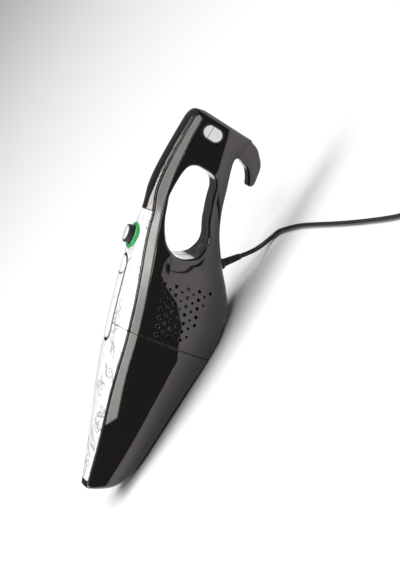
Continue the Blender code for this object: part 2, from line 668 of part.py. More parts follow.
def latch_layer(name, x0, x1, r, t0, t1, coll):
    ob = prism(name, stadium(x0, x1, r), 55, 180, coll, axes="xy")
    boolean(ob, loft("a", lx, t0, CUT), 'INTERSECT')
    boolean(ob, loft("b", lx, t1, CUT), 'DIFFERENCE')
    return ob


latch_lever = latch_layer("latch_lever", LATCH_X0, LATCH_X1, LATCH_R, -0.6, 2.0, PART)
hole = prism("latch_hole", stadium(LATCH_X0 - 1.3, LATCH_X1 + 1.3, LATCH_R + 1.3), 55, 180, CUT, axes="xy")
boolean(container_cover, hole, 'DIFFERENCE', keep=True)
boolean(rear_cover, hole, 'DIFFERENCE')
latch_bed = latch_layer("latch_bed", LATCH_X0, LATCH_X1 + 3, LATCH_R + 3, 4.7, 6.1, PART)
boolean(latch_bed, prism("hs", ((rear_side(-20) + 4.5, -20), (230, -20), (230, 200), (rear_side(200) + 4.5, 200)), -80, 80, CUT),
        'INTERSECT')
latch_keeper = latch_layer("latch_keeper", LATCH_X0 - 3, LATCH_X1, LATCH_R + 3, 7.0, 8.4, PART)
boolean(latch_keeper, prism("hs", ((-230, -20), (front_side(-20) - 11.5, -20), (front_side(200) - 11.5, 200), (-230, 200)), -80, 80,
                            CUT), 'INTERSECT')
px_, zt_ = LATCH_PIN[0], f_top(LATCH_PIN[0])
pz_ = zt_ - 6.0
boolean(latch_lever, cyl("lug", (px_, -5, pz_), (px_, 5, pz_), 4.2, 16, CUT), 'UNION')
boolean(latch_lever, cyl("lug_bore", (px_, -7, pz_), (px_, 7, pz_), 1.85, 12, CUT), 'DIFFERENCE')
boolean(latch_bed, box("bed_window", (px_ - 5.5, -7.5, zt_ - 14), (px_ + 5.5, 7.5, zt_ + 2), CUT), 'DIFFERENCE')
for s in (-1, 1):
    boolean(latch_bed, box("ear", (px_ - 3.2, min(s * 7.9, s * 11.2), zt_ - 9.8), (px_ + 3.2, max(s * 7.9, s * 11.2), zt_ - 5.4),
                           CUT), 'UNION')
boolean(latch_bed, cyl("ear_bore", (px_, -14, pz_), (px_, 14, pz_), 1.85, 12, CUT), 'DIFFERENCE')
latch_pin = cyl("latch_pin", (px_, -10.6, pz_), (px_, 10.6, pz_), 1.5, 12, PART)
helix = [(px_ + 1.95 * math.cos(a), 5.6 + 0.6 * a / (2 * math.pi), pz_ + 1.95 * math.sin(a))
         for a in [2 * math.pi * k / 10 for k in range(21)]]
latch_spring = tube("latch_spring", helix, 0.4, PART, res=1)

# --- dial on its light ring, with the rotary switch below the cover
dn = Vector((-math.sin(math.radians(DIAL_TILT)), 0, math.cos(math.radians(DIAL_TILT))))
dp = Vector((DIAL_X, 0, f_top(DIAL_X)))
boolean(rear_cover, cyl("dial_hole", dp - dn * 9, dp + dn * 9, RING_R + 0.3, 24, CUT), 'DIFFERENCE')
ring_top = 0.8
dial_light_ring = turned("dial_light_ring", ((13.9, ring_top), (RING_R, 0.2), (RING_R, -3.6), (3.0, -3.6), (3.0, -1.5),
                                             (11.2, -1.5), (11.2, ring_top)), dp, dn, 24, PART)
dial_knob = turned("dial_knob", ((0, 5.4), (8.3, 5.4), (8.3, 7.0), (9.3, 7.0), (10.0, 6.3), (DIAL_R, -1.2), (2.4, -1.2),
                                 (2.4, -9.5), (0, -9.5)), dp, dn, 20, PART, closed=False)
dial_cap = turned("dial_cap", ((0, DIAL_H), (6.6, 8.1), (8.0, 7.2), (8.0, 5.7), (0, 5.7)), dp, dn, 20, PART, closed=False)
rotary_switch = turned("rotary_switch", ((9.0, -4.0), (9.0, -13.5), (2.8, -13.5), (2.8, -4.0)), dp, dn, 16, PART)
control_board = box("control_board", (20, -17, 96), (50, 17, 97.6), PART)

# --- power button, bezel and switch
power_button = prism("power_button", button_outline(0.0), -20.4, -15.9, PART)
button_bezel = prism("button_bezel", button_outline(1.7), -19.7, -16.8, PART)
boolean(button_bezel, prism("bz", button_outline(0.4), -30, -8, CUT), 'DIFFERENCE')
power_switch = box("power_switch", (181, -13.0, 113), (195, 3.0, 134), PART, bevel=0.8)

# --- seam side: bulkhead with inlet grille, seal, filter
SEAM_DIR = Vector((SEAM_TOP[1] - SEAM_LOW[1], 0, SEAM_LOW[0] - SEAM_TOP[0])).normalized()   # rearwards, square to the seam
fx = [-60 + 10 * i for i in range(8)]
bulkhead = loft("bulkhead", fx, 2.9, PART)
boolean(bulkhead, seam_slab("s", 1.1, 3.4, CUT), 'INTERSECT')
gc = Vector((seam_x(60.0, 2.25), 0, 60.0))
boolean(bulkhead, cyl("gh", gc - SEAM_DIR * 8, gc + SEAM_DIR * 8, 24.0, 20, CUT), 'DIFFERENCE')
inlet_grille = turned("inlet_grille", ((23.7, 1.0), (23.7, -1.0), (20.6, -1.0), (20.6, 1.0)), gc, SEAM_DIR, 20, PART)
for k in range(3):
    bar = box("bar", (-22.0, -1.1, -0.8 + 0.07 * k), (22.0, 1.1, 0.8 - 0.05 * k), CUT)
    bar.data.transform(frame_to(gc, SEAM_DIR) @ Matrix.Rotation(math.radians(60 * k), 4, 'Z'))
    boolean(inlet_grille, bar, 'UNION')
container_seal = loft("container_seal", fx, 3.2, PART)
boolean(container_seal, loft("si", fx, 6.4, CUT), 'DIFFERENCE')
boolean(container_seal, seam_slab("s", -1.1, 0.7, CUT), 'INTERSECT')
filter_frame = loft("filter_frame", [x - 12 for x in fx], 3.8, PART)
boolean(filter_frame, seam_slab("s", -4.4, -1.5, CUT), 'INTERSECT')
fc = Vector((seam_x(55.0), 0, 55.0))
boolean(filter_frame, cyl("fh", fc - SEAM_DIR * 12, fc + SEAM_DIR * 12, 32.0, 20, CUT), 'DIFFERENCE')
n_pl = 20
zig = [(-36.0 if k % 2 else -12.0, -30.0 + 60.0 * k / n_pl) for k in range(n_pl + 1)]
filter_pleats = prism("filter_pleats", [(-5.0, -30.0)] + zig + [(-5.0, 30.0)], -30, 30, PART, axes="xy")
filter_pleats.data.transform(Matrix.Translation(fc * MM) @ Matrix.Rotation(-math.atan2(SEAM_DIR.z, SEAM_DIR.x), 4, 'Y'))

# --- inlet frame and flap behind the mouth
inlet_frame = loft("inlet_frame", (-156, -154, -150, -147), 2.9, PART)
boolean(inlet_frame, box("slab", (-152.6, -60, -5), (-150.7, 60, 90), CUT), 'INTERSECT')
boolean(inlet_frame, box("window", (-160, -13.5, 11.5), (-140, 13.5, 49.0), CUT), 'DIFFERENCE')
FLAP_PIN = (-148.9, 53.6)
inlet_flap = box("inlet_flap", (-150.2, -16.0, 8.5), (-148.6, 16.0, 53.0), PART, bevel=0.3)
boolean(inlet_flap, cyl("fp", (FLAP_PIN[0], -18.5, FLAP_PIN[1]), (FLAP_PIN[0], 18.5, FLAP_PIN[1]), 1.4, 12, CUT), 'UNION')

# --- motor line along X at AXIS_Z
AX = Vector((1, 0, 0))


def along(name, profile, steps, coll=None):
    """Turned about the motor axis; heights are X."""
    return turned(name, profile, (0, 0, AXIS_Z), AX, steps, coll or PART)


fan_shroud = along("fan_shroud", ((43.0, 8.0), (43.0, -13.6), (40.6, -16.0), (17.0, -16.0), (17.0, -14.4), (39.8, -14.4),
                                  (41.4, -12.8), (41.4, 8.0)), 20)
diffuser_plate = along("diffuser_plate", ((41.1, 7.6), (41.1, 5.4), (10.0, 5.4), (10.0, 7.6)), 20)
motor_can = along("motor_can", ((28.0, 48.0), (28.0, 9.6), (27.0, 8.4), (9.8, 8.4), (9.8, 10.0), (26.4, 10.0),
                                (26.4, 48.0)), 18)
motor_end_plate = along("motor_end_plate", ((28.0, 50.6), (28.0, 48.4), (7.7, 48.4), (7.7, 50.6)), 18)
stator_core = along("stator_core", ((26.0, 36.0), (26.0, 16.0), (17.6, 16.0), (17.6, 36.0)), 18)
front_bearing = along("front_bearing", ((9.4, 13.4), (9.4, 8.6), (2.9, 8.6), (2.9, 13.4)), 14)
rear_bearing = along("rear_bearing", ((7.3, 52.6), (7.3, 48.4), (2.9, 48.4), (2.9, 52.6)), 18)
front_mount = along("front_mount", ((45.6, 1.0), (45.6, -7.0), (43.4, -7.0), (43.4, 1.0)), 20)
rear_mount = along("rear_mount", ((31.0, 46.0), (31.0, 36.0), (28.4, 36.0), (28.4, 46.0)), 18)
rotor_shaft = cyl("rotor_shaft", (-13.0, 0, AXIS_Z), (54.0, 0, AXIS_Z), 2.5, 14, PART)
armature_core = along("armature_core", ((16.8, 36.5), (16.8, 15.5), (2.9, 15.5), (2.9, 36.5)), 18)
commutator = along("commutator", ((9.0, 46.0), (9.0, 39.5), (2.9, 39.5), (2.9, 46.0)), 14)
impeller = along("impeller", ((FAN_R, 3.4), (FAN_R, 1.8), (7.0, 1.4), (6.0, -11.5), (2.9, -11.5), (2.9, 3.4)), 18)
for k in range(7):
    a = 2 * math.pi * k / 7
    blade = box("blade", (-10.5, 9.0, -0.6), (2.4, 36.5, 0.6), CUT)
    blade.data.transform(Matrix.Translation((0, 0, AXIS_Z * MM)) @ Matrix.Rotation(a, 4, 'X')
                         @ Matrix.Translation((0, 5 * MM, 0)) @ Matrix.Rotation(math.radians(24), 4, 'X')
                         @ Matrix.Translation((0, -5 * MM, 0)))
    boolean(impeller, blade, 'UNION')
brush_holder_left = box("brush_holder_left", (40.2, -25.6, AXIS_Z - 3), (45.2, -9.6, AXIS_Z + 3), PART)
brush_holder_right = box("brush_holder_right", (40.2, 9.6, AXIS_Z - 3), (45.2, 25.6, AXIS_Z + 3), PART)
cord_clamp = box("cord_clamp", (54.0, -9.0, 43.0), (64.6, 9.0, 50.0), PART, bevel=1.0)

# --- strain relief and cord
RELIEF_END = 25.5
strain_relief = turned("strain_relief", ((0, RELIEF_END), (3.4, RELIEF_END), (4.6, 6.2), (5.6, 5.6), (6.4, 4.6), (6.4, 2.5),
                                         (4.1, 2.5), (4.1, -3.3), (6.0, -3.3), (6.0, -6.0), (0, -6.0)), g0, gd, 16, PART,
                       closed=False)
c0 = g0 + gd * (RELIEF_END + 0.35)
route = [tuple(c0), tuple(c0 + gd * 8.0)] + list(ROUTE)
power_cord = tube("power_cord", smooth_line(route, 13.0), CORD_D, PART)
cord_coil = turned("cord_coil", ((COIL_R + 10, COIL_H), (COIL_R + 12, COIL_H - 2), (COIL_R + 12, 2), (COIL_R + 10, 0),
                                 (COIL_R - 10, 0), (COIL_R - 12, 2), (COIL_R - 12, COIL_H - 2), (COIL_R - 10, COIL_H)),
                   (COIL_C[0], COIL_C[1], 0), (0, 0, 1), 28, PART)
clip_out = ((COIL_R + 13.8, 3), (COIL_R + 13.8, COIL_H + 1.6), (COIL_R - 14.4, COIL_H + 1.6), (COIL_R - 14.4, 3),
            (COIL_R - 13.0, 3), (COIL_R - 13.0, COIL_H + 0.4), (COIL_R + 12.5, COIL_H + 0.4), (COIL_R + 12.5, 3))
cord_clip = prism("cord_clip", clip_out, -3.5, 3.5, PART)
cord_clip.data.transform(Matrix.Translation((COIL_C[0] * MM, COIL_C[1] * MM, 0)) @ Matrix.Rotation(math.radians(-55), 4, 'Z'))
PLUG_Y = COIL_C[1] + 82.0
px0 = COIL_C[0] + COIL_R
lead = [(px0, COIL_C[1] + 37.2, 3.0), (px0, COIL_C[1] + 50, 3.6), (px0, COIL_C[1] + 66, 6.0), (px0, PLUG_Y - 5, 7.0),
        (px0, PLUG_Y - 0.35, 7.0)]
plug_lead = tube("plug_lead", smooth_line(lead, 12.0), CORD_D, PART)
plug_body = box("plug_body", (px0 - 13, PLUG_Y, 0.0), (px0 + 13, PLUG_Y + 34.5, 14.0), PART, bevel=2.6, seg=2)
plug_pin_1 = cyl("plug_pin_1", (px0 - 9.5, PLUG_Y + 34.8, 7), (px0 - 9.5, PLUG_Y + 53.5, 7), 2.0, 12, PART)
plug_pin_2 = cyl("plug_pin_2", (px0 + 9.5, PLUG_Y + 34.8, 7), (px0 + 9.5, PLUG_Y + 53.5, 7), 2.0, 12, PART)

# --- faces that lie in one plane become one face
for ob in (container_shell, container_cover, rear_cover, housing_left, housing_right, *trims):
    bm = bmesh.new()
    bm.from_mesh(ob.data)
    bmesh.ops.dissolve_limit(bm, angle_limit=math.radians(0.25), use_dissolve_boundaries=False, verts=bm.verts, edges=bm.edges)
    bmesh.ops.triangulate(bm, faces=bm.faces)
    bm.to_mesh(ob.data)
    bm.free()

# --- materials
for ob, look in ((container_shell, "black"), (container_cover, "white"), (rear_cover, "white"), (housing_left, "black"),
                 (housing_right, "black"), (latch_lever, "white"), (latch_bed, "dark"), (latch_keeper, "dark"),
                 (latch_pin, "steel"), (latch_spring, "steel"), (dial_light_ring, "green"), (dial_knob, "knob"),
                 (dial_cap, "silver"), (rotary_switch, "dark"), (control_board, "board"), (power_button, "white"),
                 (button_bezel, "dark"), (power_switch, "dark"), (bulkhead, "dark"), (inlet_grille, "dark"),
                 (container_seal, "rubber"), (filter_frame, "dark"), (filter_pleats, "filter"), (inlet_frame, "dark"),
                 (inlet_flap, "rubber"), (fan_shroud, "silver"), (diffuser_plate, "dark"), (motor_can, "steel"),
                 (motor_end_plate, "steel"), (stator_core, "steel"), (front_bearing, "steel"), (rear_bearing, "steel"),
                 (front_mount, "rubber"), (rear_mount, "rubber"), (rotor_shaft, "steel"), (armature_core, "copper"),
                 (commutator, "copper"), (impeller, "silver"), (brush_holder_left, "brass"), (brush_holder_right, "brass"),
                 (cord_clamp, "dark"), (strain_relief, "rubber"), (power_cord, "cord"), (cord_coil, "cord"),
                 (cord_clip, "dark"), (plug_lead, "cord"), (plug_body, "dark"), (plug_pin_1, "brass"), (plug_pin_2, "brass")):
    finish(ob, look)
for ob in trims:
    finish(ob, "grey")


def set_axis(ob, point):
    """Move a piece's origin to a point on its joint's axis, shape unchanged."""
    p = Vector(point) * MM
    ob.data.transform(Matrix.Translation(-p))
    ob.location = p


def group(name, point, children):
    """An empty on a joint's axis that carries the pieces which move together."""
    e = bpy.data.objects.new(name, None)
    e.empty_display_size = 0.01
    e.location = Vector(point) * MM
    PART.objects.link(e)
    for c in children:
        set_axis(c, point)
        c.parent = e
        c.location = (0, 0, 0)


group("axis_dial", dp, (dial_knob, dial_cap))
group("axis_rotor", (0, 0, AXIS_Z), (rotor_shaft, armature_core, commutator, impeller))
group("slide_container", (seam_x(55.0), 0, 55.0),
      (container_shell, container_cover, trims[0], trims[2], latch_keeper, inlet_frame))
group("slide_filter", fc, (filter_frame, filter_pleats))
set_axis(latch_lever, (px_, 0, pz_))
set_axis(inlet_flap, (FLAP_PIN[0], 0, FLAP_PIN[1]))
set_axis(power_button, (BUTTON[0], -18.0, BUTTON[1]))
for ob in list(CUT.objects):
    bpy.data.objects.remove(ob, do_unlink=True)
bpy.context.view_layer.update()
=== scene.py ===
import json
import math

import bmesh
import bpy
import numpy as np
from mathutils import Matrix, Vector


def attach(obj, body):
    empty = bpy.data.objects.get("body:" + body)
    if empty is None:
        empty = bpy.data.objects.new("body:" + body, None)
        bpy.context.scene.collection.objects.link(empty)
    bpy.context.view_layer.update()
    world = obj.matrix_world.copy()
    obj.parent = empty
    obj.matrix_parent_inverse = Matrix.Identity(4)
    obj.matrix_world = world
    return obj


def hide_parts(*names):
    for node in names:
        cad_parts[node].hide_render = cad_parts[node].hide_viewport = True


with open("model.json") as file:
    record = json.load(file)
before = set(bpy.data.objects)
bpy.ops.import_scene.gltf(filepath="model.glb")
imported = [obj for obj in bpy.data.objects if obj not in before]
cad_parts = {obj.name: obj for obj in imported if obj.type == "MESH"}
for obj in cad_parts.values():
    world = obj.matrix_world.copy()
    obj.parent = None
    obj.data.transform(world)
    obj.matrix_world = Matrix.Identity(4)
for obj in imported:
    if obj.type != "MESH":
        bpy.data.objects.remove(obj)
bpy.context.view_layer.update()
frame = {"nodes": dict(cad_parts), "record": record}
NODES = frame["nodes"]
MM = 0.001

# =====================================================================
# the machine's form, in millimetres: the same tables as the CAD
# =====================================================================
TOP = ((-204.8, 40.6), (-200, 42.4), (-195, 44.6), (-184, 49.4), (-160, 59.6), (-143, 66.7),
       (-92, 90.0), (-40, 109.5), (0, 122.6), (34, 133.0), (53, 137.2), (67, 139.6), (85, 143.0),
       (108, 149.5), (127, 152.2), (156, 153.3), (190, 153.4), (198, 152.0), (202.5, 149.2), (204.8, 145.0))
EDGE = ((-204.8, 38.6), (-200, 39.8), (-195, 41.4), (-184, 45.4), (-160, 54.2), (-143, 60.7),
        (-92, 80.4), (-40, 96.5), (34, 121.5), (51, 126.8), (67, 131.0), (85, 135.4),
        (108.6, 145.0), (127, 147.8), (156, 149.6), (190, 150.6), (198, 149.8), (202.5, 147.2), (204.8, 143.0))
STRIP = ((-204.8, 37.4), (-200, 36.6), (-184, 38.6), (-160, 45.5), (-140, 51.6), (-121, 58.6),
         (-78.6, 76.0), (-26.5, 92.0), (23, 109.0), (72, 123.6), (107, 133.6), (150, 141.0),
         (189, 143.6), (198, 143.0), (204.8, 138.0))
BOTTOM = ((-204.8, 36.4), (-202.5, 30.5), (-199, 24.0), (-195, 18.2), (-189, 12.0), (-182, 7.8), (-174, 4.6),
          (-165, 2.3), (-152, 0.8), (-142, 0.15), (-135, 0.0), (-60, 0.0), (0, 0.0), (10, 1.7), (19.5, 4.8), (36.8, 9.7),
          (45.4, 13.4), (51.9, 18.3), (59, 23.8), (65.4, 29.5), (72, 35.2), (85.6, 45.4), (99.8, 55.3),
          (115, 63.4), (131.2, 70.1), (148.2, 75.6), (164.9, 81.7), (176.8, 84.5), (188, 82.0), (204.8, 80.0))
B_EDGE = ((-204.8, 12.0), (-200, 15.0), (-184, 18.4), (-160, 24.0), (-128, 30.2), (-104, 34.5), (-80, 39.0),
          (-45, 42.3), (-15, 42.6), (0, 41.4), (24, 36.5), (50, 27.6), (75, 20.6), (105, 18.4), (150, 18.2), (190, 17.6),
          (200, 16.0), (204.8, 12.0))
B_STRIP = ((-204.8, 13.0), (-200, 16.6), (-184, 20.8), (-160, 28.0), (-128, 35.4), (-104, 40.2), (-80, 44.7),
           (-45, 48.1), (0, 47.2), (24, 43.2), (50, 35.0), (75, 25.8), (105, 20.4), (150, 19.6), (190, 18.6),
           (200, 16.8), (204.8, 12.6))
B_WIDE = ((-204.8, 13.4), (-200, 17.6), (-184, 22.6), (-160, 30.2), (-128, 37.8), (-104, 42.4), (-80, 46.4),
          (-45, 49.4), (0, 49.5), (24, 47.4), (40, 44.0), (57, 37.6), (75, 29.0), (90, 24.0), (105, 21.4), (130, 20.2),
          (180, 19.2), (200, 17.2), (204.8, 13.0))
B_FLAT = ((-204.8, 9.0), (-189, 12.0), (-176, 13.0), (-154, 14.5), (-110, 17.0), (-60, 21.5), (-20, 26.0),
          (0, 25.5), (20, 22.0), (45, 18.0), (72, 13.0), (100, 10.0), (150, 9.0), (204.8, 8.0))
LOOP = ((57.3, 94.6), (58.2, 86.0), (61.5, 78.8), (66.5, 71.6), (73, 67.4), (84, 65.9), (93, 68.1), (100.4, 72.3),
        (108, 76.5), (116.4, 79.8), (124.5, 83.1), (132.6, 85.8), (141.8, 88.6), (148.2, 93.0), (151, 99.6),
        (151.4, 110.0), (150.6, 119.0), (146.2, 125.8), (138, 128.8), (123, 129.4), (108.5, 128.5), (100.3, 125.7),
        (83.3, 119.7), (68, 111.3), (61.2, 104.6))
HOOK = ((204.2, 86.0), (204.2, 79.5), (201, 69), (195, 62), (188.5, 56.2), (182, 53.6), (175.5, 52.4), (169.8, 51.4),
        (165.2, 51.4), (162.0, 54.0), (162.6, 57.5), (168.4, 60.8), (173.6, 64.5), (177.0, 68.5), (178.9, 73), (180.6, 79),
        (181.4, 86.0), (188.0, 92.0), (199.0, 92.0))
SEAM_TOP, SEAM_LOW = (-38.0, 110.0), (-19.7, 0.0)
SEAM_N = np.array([110.0, 18.3]) / math.hypot(110.0, 18.3)
SCREWS = ((14.0, 98.5), (30.0, 17.5), (85.3, 55.8), (92.0, 131.0), (160.0, 90.5), (193.0, 98.0))
BUTTON = (188.0, 123.5)
DIAL_X, DIAL_TILT = 52.8, 11.0
GLAND, GLAND_DIR = (73.2, 37.0), (0.78, -0.626)
VENT_A, VENT_U, VENT_V = (26.4, 91.9), (3.9, -13.1), (-8.4, -3.35)


def curve_of(table):
    xs = np.array([p[0] for p in table], float)
    ys = np.array([p[1] for p in table], float)
    h = np.diff(xs)
    s = np.diff(ys) / h
    m = np.zeros(len(xs))
    m[0], m[-1] = s[0], s[-1]
    for i in range(1, len(xs) - 1):
        if s[i - 1] * s[i] > 0:
            w1, w2 = 2 * h[i] + h[i - 1], h[i] + 2 * h[i - 1]
            m[i] = (w1 + w2) / (w1 / s[i - 1] + w2 / s[i])

    def f(x):
        x = np.clip(np.asarray(x, float), xs[0], xs[-1])
        i = np.clip(np.searchsorted(xs, x, side="right") - 1, 0, len(h) - 1)
        t = (x - xs[i]) / h[i]
        return ((2 * t ** 3 - 3 * t ** 2 + 1) * ys[i] + (t ** 3 - 2 * t ** 2 + t) * h[i] * m[i]
                + (-2 * t ** 3 + 3 * t ** 2) * ys[i + 1] + (t ** 3 - t ** 2) * h[i] * m[i + 1])
    return f


f_top, f_edge, f_strip, f_bot = curve_of(TOP), curve_of(EDGE), curve_of(STRIP), curve_of(BOTTOM)
f_b, f_s, f_w, f_f = curve_of(B_EDGE), curve_of(B_STRIP), curve_of(B_WIDE), curve_of(B_FLAT)


def half_profile(x):
    """Half section at x from the top centre to the bottom centre, (y, z), z falling."""
    zt, ze, zs, zb = float(f_top(x)), float(f_edge(x)), float(f_strip(x)), float(f_bot(x))
    b, ys, w, f = float(f_b(x)), float(f_s(x)), float(f_w(x)), float(f_f(x))
    zs = min(zs, ze - 2.0) if ze - zb > 6 else ze - 0.35 * (ze - zb)
    ze1 = ze - min(1.5, 0.3 * (ze - zs))
    y = [b * q for q in np.linspace(0, 1, 12)]
    z = [zt - (zt - ze) * q ** 2 for q in np.linspace(0, 1, 12)]
    y += [b + (ys - b) * 0.15, ys]
    z += [ze1, zs]
    h = zs - zb
    # smooth shoulder from the strip's lower edge to the widest line
    for q in (0.25, 0.5, 0.75, 1.0):
        y.append(ys + (w - ys) * math.sin(q * math.pi / 2))
        z.append(zs - 0.2 * h * q)
    for s in np.linspace(1, 0, 26)[1:] ** 1.6:
        y.append(f + (w - f) * (1 - (1 - s) ** 2.2) ** 0.62)
        z.append(zb + 0.8 * s * h)
    y.append(0.0)
    z.append(zb)
    return np.array(y), np.array(z)


# =====================================================================
# distance field of the outer form
# =====================================================================
H = 0.8
GX = np.arange(-209.0, 209.01, H)
GY = np.arange(0.0, 55.01, H)
GZ = np.arange(-4.0, 159.01, H)


def body_field():
    yy, zz = np.meshgrid(GY, GZ, indexing="ij")
    P = np.stack([yy.ravel(), zz.ravel()], 1)
    out = np.empty((len(GX), len(GY), len(GZ)), np.float32)
    for i, x in enumerate(GX):
        xc = min(max(x, -204.8), 204.8)
        py, pz = half_profile(xc)
        ax, az = py[:-1], pz[:-1]
        bx, bz = py[1:] - ax, pz[1:] - az
        L = bx * bx + bz * bz + 1e-12
        best = np.full(len(P), 1e9)
        for k in range(len(ax)):
            t = np.clip(((P[:, 0] - ax[k]) * bx[k] + (P[:, 1] - az[k]) * bz[k]) / L[k], 0, 1)
            d = (P[:, 0] - ax[k] - t * bx[k]) ** 2 + (P[:, 1] - az[k] - t * bz[k]) ** 2
            np.minimum(best, d, out=best)
        d = np.sqrt(best)
        o = np.argsort(pz, kind="stable")
        wid = np.interp(P[:, 1], pz[o], py[o])
        inside = (P[:, 0] < wid) & (P[:, 1] > pz[-1]) & (P[:, 1] < pz[0])
        d = np.where(inside, -d, d)
        out[i] = d.reshape(yy.shape)
    gx, gy, gz = np.gradient(out)
    g = np.sqrt(gx * gx + gy * gy + gz * gz) / H
    out = out / np.clip(g, 0.75, 2.5)
    XX = GX[:, None, None]
    ends = np.maximum(XX - 204.8, -204.8 - XX).astype(np.float32)
    return smax(out, ends, 1.2)


def smax(a, b, k):
    h = np.clip(k - np.abs(a - b), 0, None) / k
    return np.maximum(a, b) + h * h * k * 0.25


def smin(a, b, k):
    return -smax(-a, -b, k)


def closed_curve(pts, per=8):
    P = [np.array(p, float) for p in pts]
    n = len(P)
    out = []
    for i in range(n):
        p0, p1, p2, p3 = P[i - 1], P[i], P[(i + 1) % n], P[(i + 2) % n]
        for t in np.linspace(0, 1, per, endpoint=False):
            out.append(0.5 * ((2 * p1) + (-p0 + p2) * t + (2 * p0 - 5 * p1 + 4 * p2 - p3) * t * t
                              + (-p0 + 3 * p1 - 3 * p2 + p3) * t ** 3))
    return np.array(out)


def poly_field(poly, X, Z):
    """Signed distance to a closed outline in X, Z, negative inside."""
    best = np.full(X.shape, 1e9)
    inside = np.zeros(X.shape, bool)
    n = len(poly)
    for i in range(n):
        ax, az = poly[i]
        bx, bz = poly[(i + 1) % n]
        dx, dz = bx - ax, bz - az
        t = np.clip(((X - ax) * dx + (Z - az) * dz) / (dx * dx + dz * dz + 1e-12), 0, 1)
        np.minimum(best, (X - ax - t * dx) ** 2 + (Z - az - t * dz) ** 2, out=best)
        cross = ((az > Z) != (bz > Z)) & (X < (bx - ax) * (Z - az) / ((bz - az) if abs(bz - az) > 1e-12 else 1e-12) + ax)
        inside ^= cross
    d = np.sqrt(best)
    return np.where(inside, -d, d).astype(np.float32)


D = body_field()
X2, Z2 = np.meshgrid(GX, GZ, indexing="ij")
LOOP_F = poly_field(closed_curve(LOOP, 5), X2, Z2)[:, None, :]
HOOK_F = poly_field(closed_curve(HOOK, 5), X2, Z2)[:, None, :]
Y3 = GY[None, :, None].astype(np.float32)
X3 = GX[:, None, None].astype(np.float32)
Z3 = GZ[None, None, :].astype(np.float32)
hook = smax(HOOK_F + 0 * Y3, Y3 - 9.0, 4.0)
g0 = Vector((GLAND[0], 0, GLAND[1]))
gd = Vector((GLAND_DIR[0], 0, GLAND_DIR[1])).normalized()
SG = (X3 - g0.x) * gd.x + (Z3 - g0.z) * gd.z
RG = np.sqrt(np.clip((X3 - g0.x) ** 2 + (Z3 - g0.z) ** 2 - SG ** 2, 0, None) + Y3 ** 2)
boss = smax(RG - 7.5, np.maximum(SG - 2.2, -SG - 5.0), 0.8)
BODY = smin(smin(smax(D, -LOOP_F, 4.5), hook, 4.0), boss, 2.0)
CAV = smax(D + 2.5, -(LOOP_F - 2.5), 2.0)
SHELL = np.maximum(BODY, -CAV)
E3 = (Z3 - f_edge(GX).astype(np.float32)[:, None, None]) * 0.93
P3 = ((X3 - SEAM_LOW[0]) * SEAM_N[0] + (Z3 - SEAM_LOW[1]) * SEAM_N[1]).astype(np.float32)
NOSE = X3 + 198.3
TAIL = 199.8 - X3


def strip_outline():
    n = 60
    x_end = 197.5 - 5.0
    xs = np.linspace(-135.0, x_end, n)
    top = [(x, float(f_edge(x)) - 2.0) for x in xs]
    xl = np.linspace(-121.0, x_end, n)
    low = [(x, float(f_strip(x)) - 1.2) for x in xl]
    zc, hh = 0.5 * (top[-1][1] + low[-1][1]), 0.5 * (top[-1][1] - low[-1][1])
    arc = [(x_end + 5.0 * math.cos(a), zc + hh * math.sin(a)) for a in np.radians([72, 54, 36, 18, 0, -18, -36, -54, -72])]
    return np.array(top + arc + low[::-1])


STRIP_F = poly_field(strip_outline(), X2, Z2)[:, None, :]
LX0, LX1, LR = -55.6, 30.6, 10.0
ST3 = (np.sqrt(np.clip(np.abs(X3 - (LX0 + LX1) / 2) - ((LX1 - LX0) / 2 - LR), 0, None) ** 2 + Y3 ** 2) - LR).astype(np.float32)
dp = Vector((DIAL_X, 0, float(f_top(DIAL_X))))
dn = Vector((-math.sin(math.radians(DIAL_TILT)), 0, math.cos(math.radians(DIAL_TILT))))
HD = (X3 - dp.x) * dn.x + (Z3 - dp.z) * dn.z
RD = np.sqrt(np.clip((X3 - dp.x) ** 2 + (Z3 - dp.z) ** 2 - HD ** 2, 0, None) + Y3 ** 2)


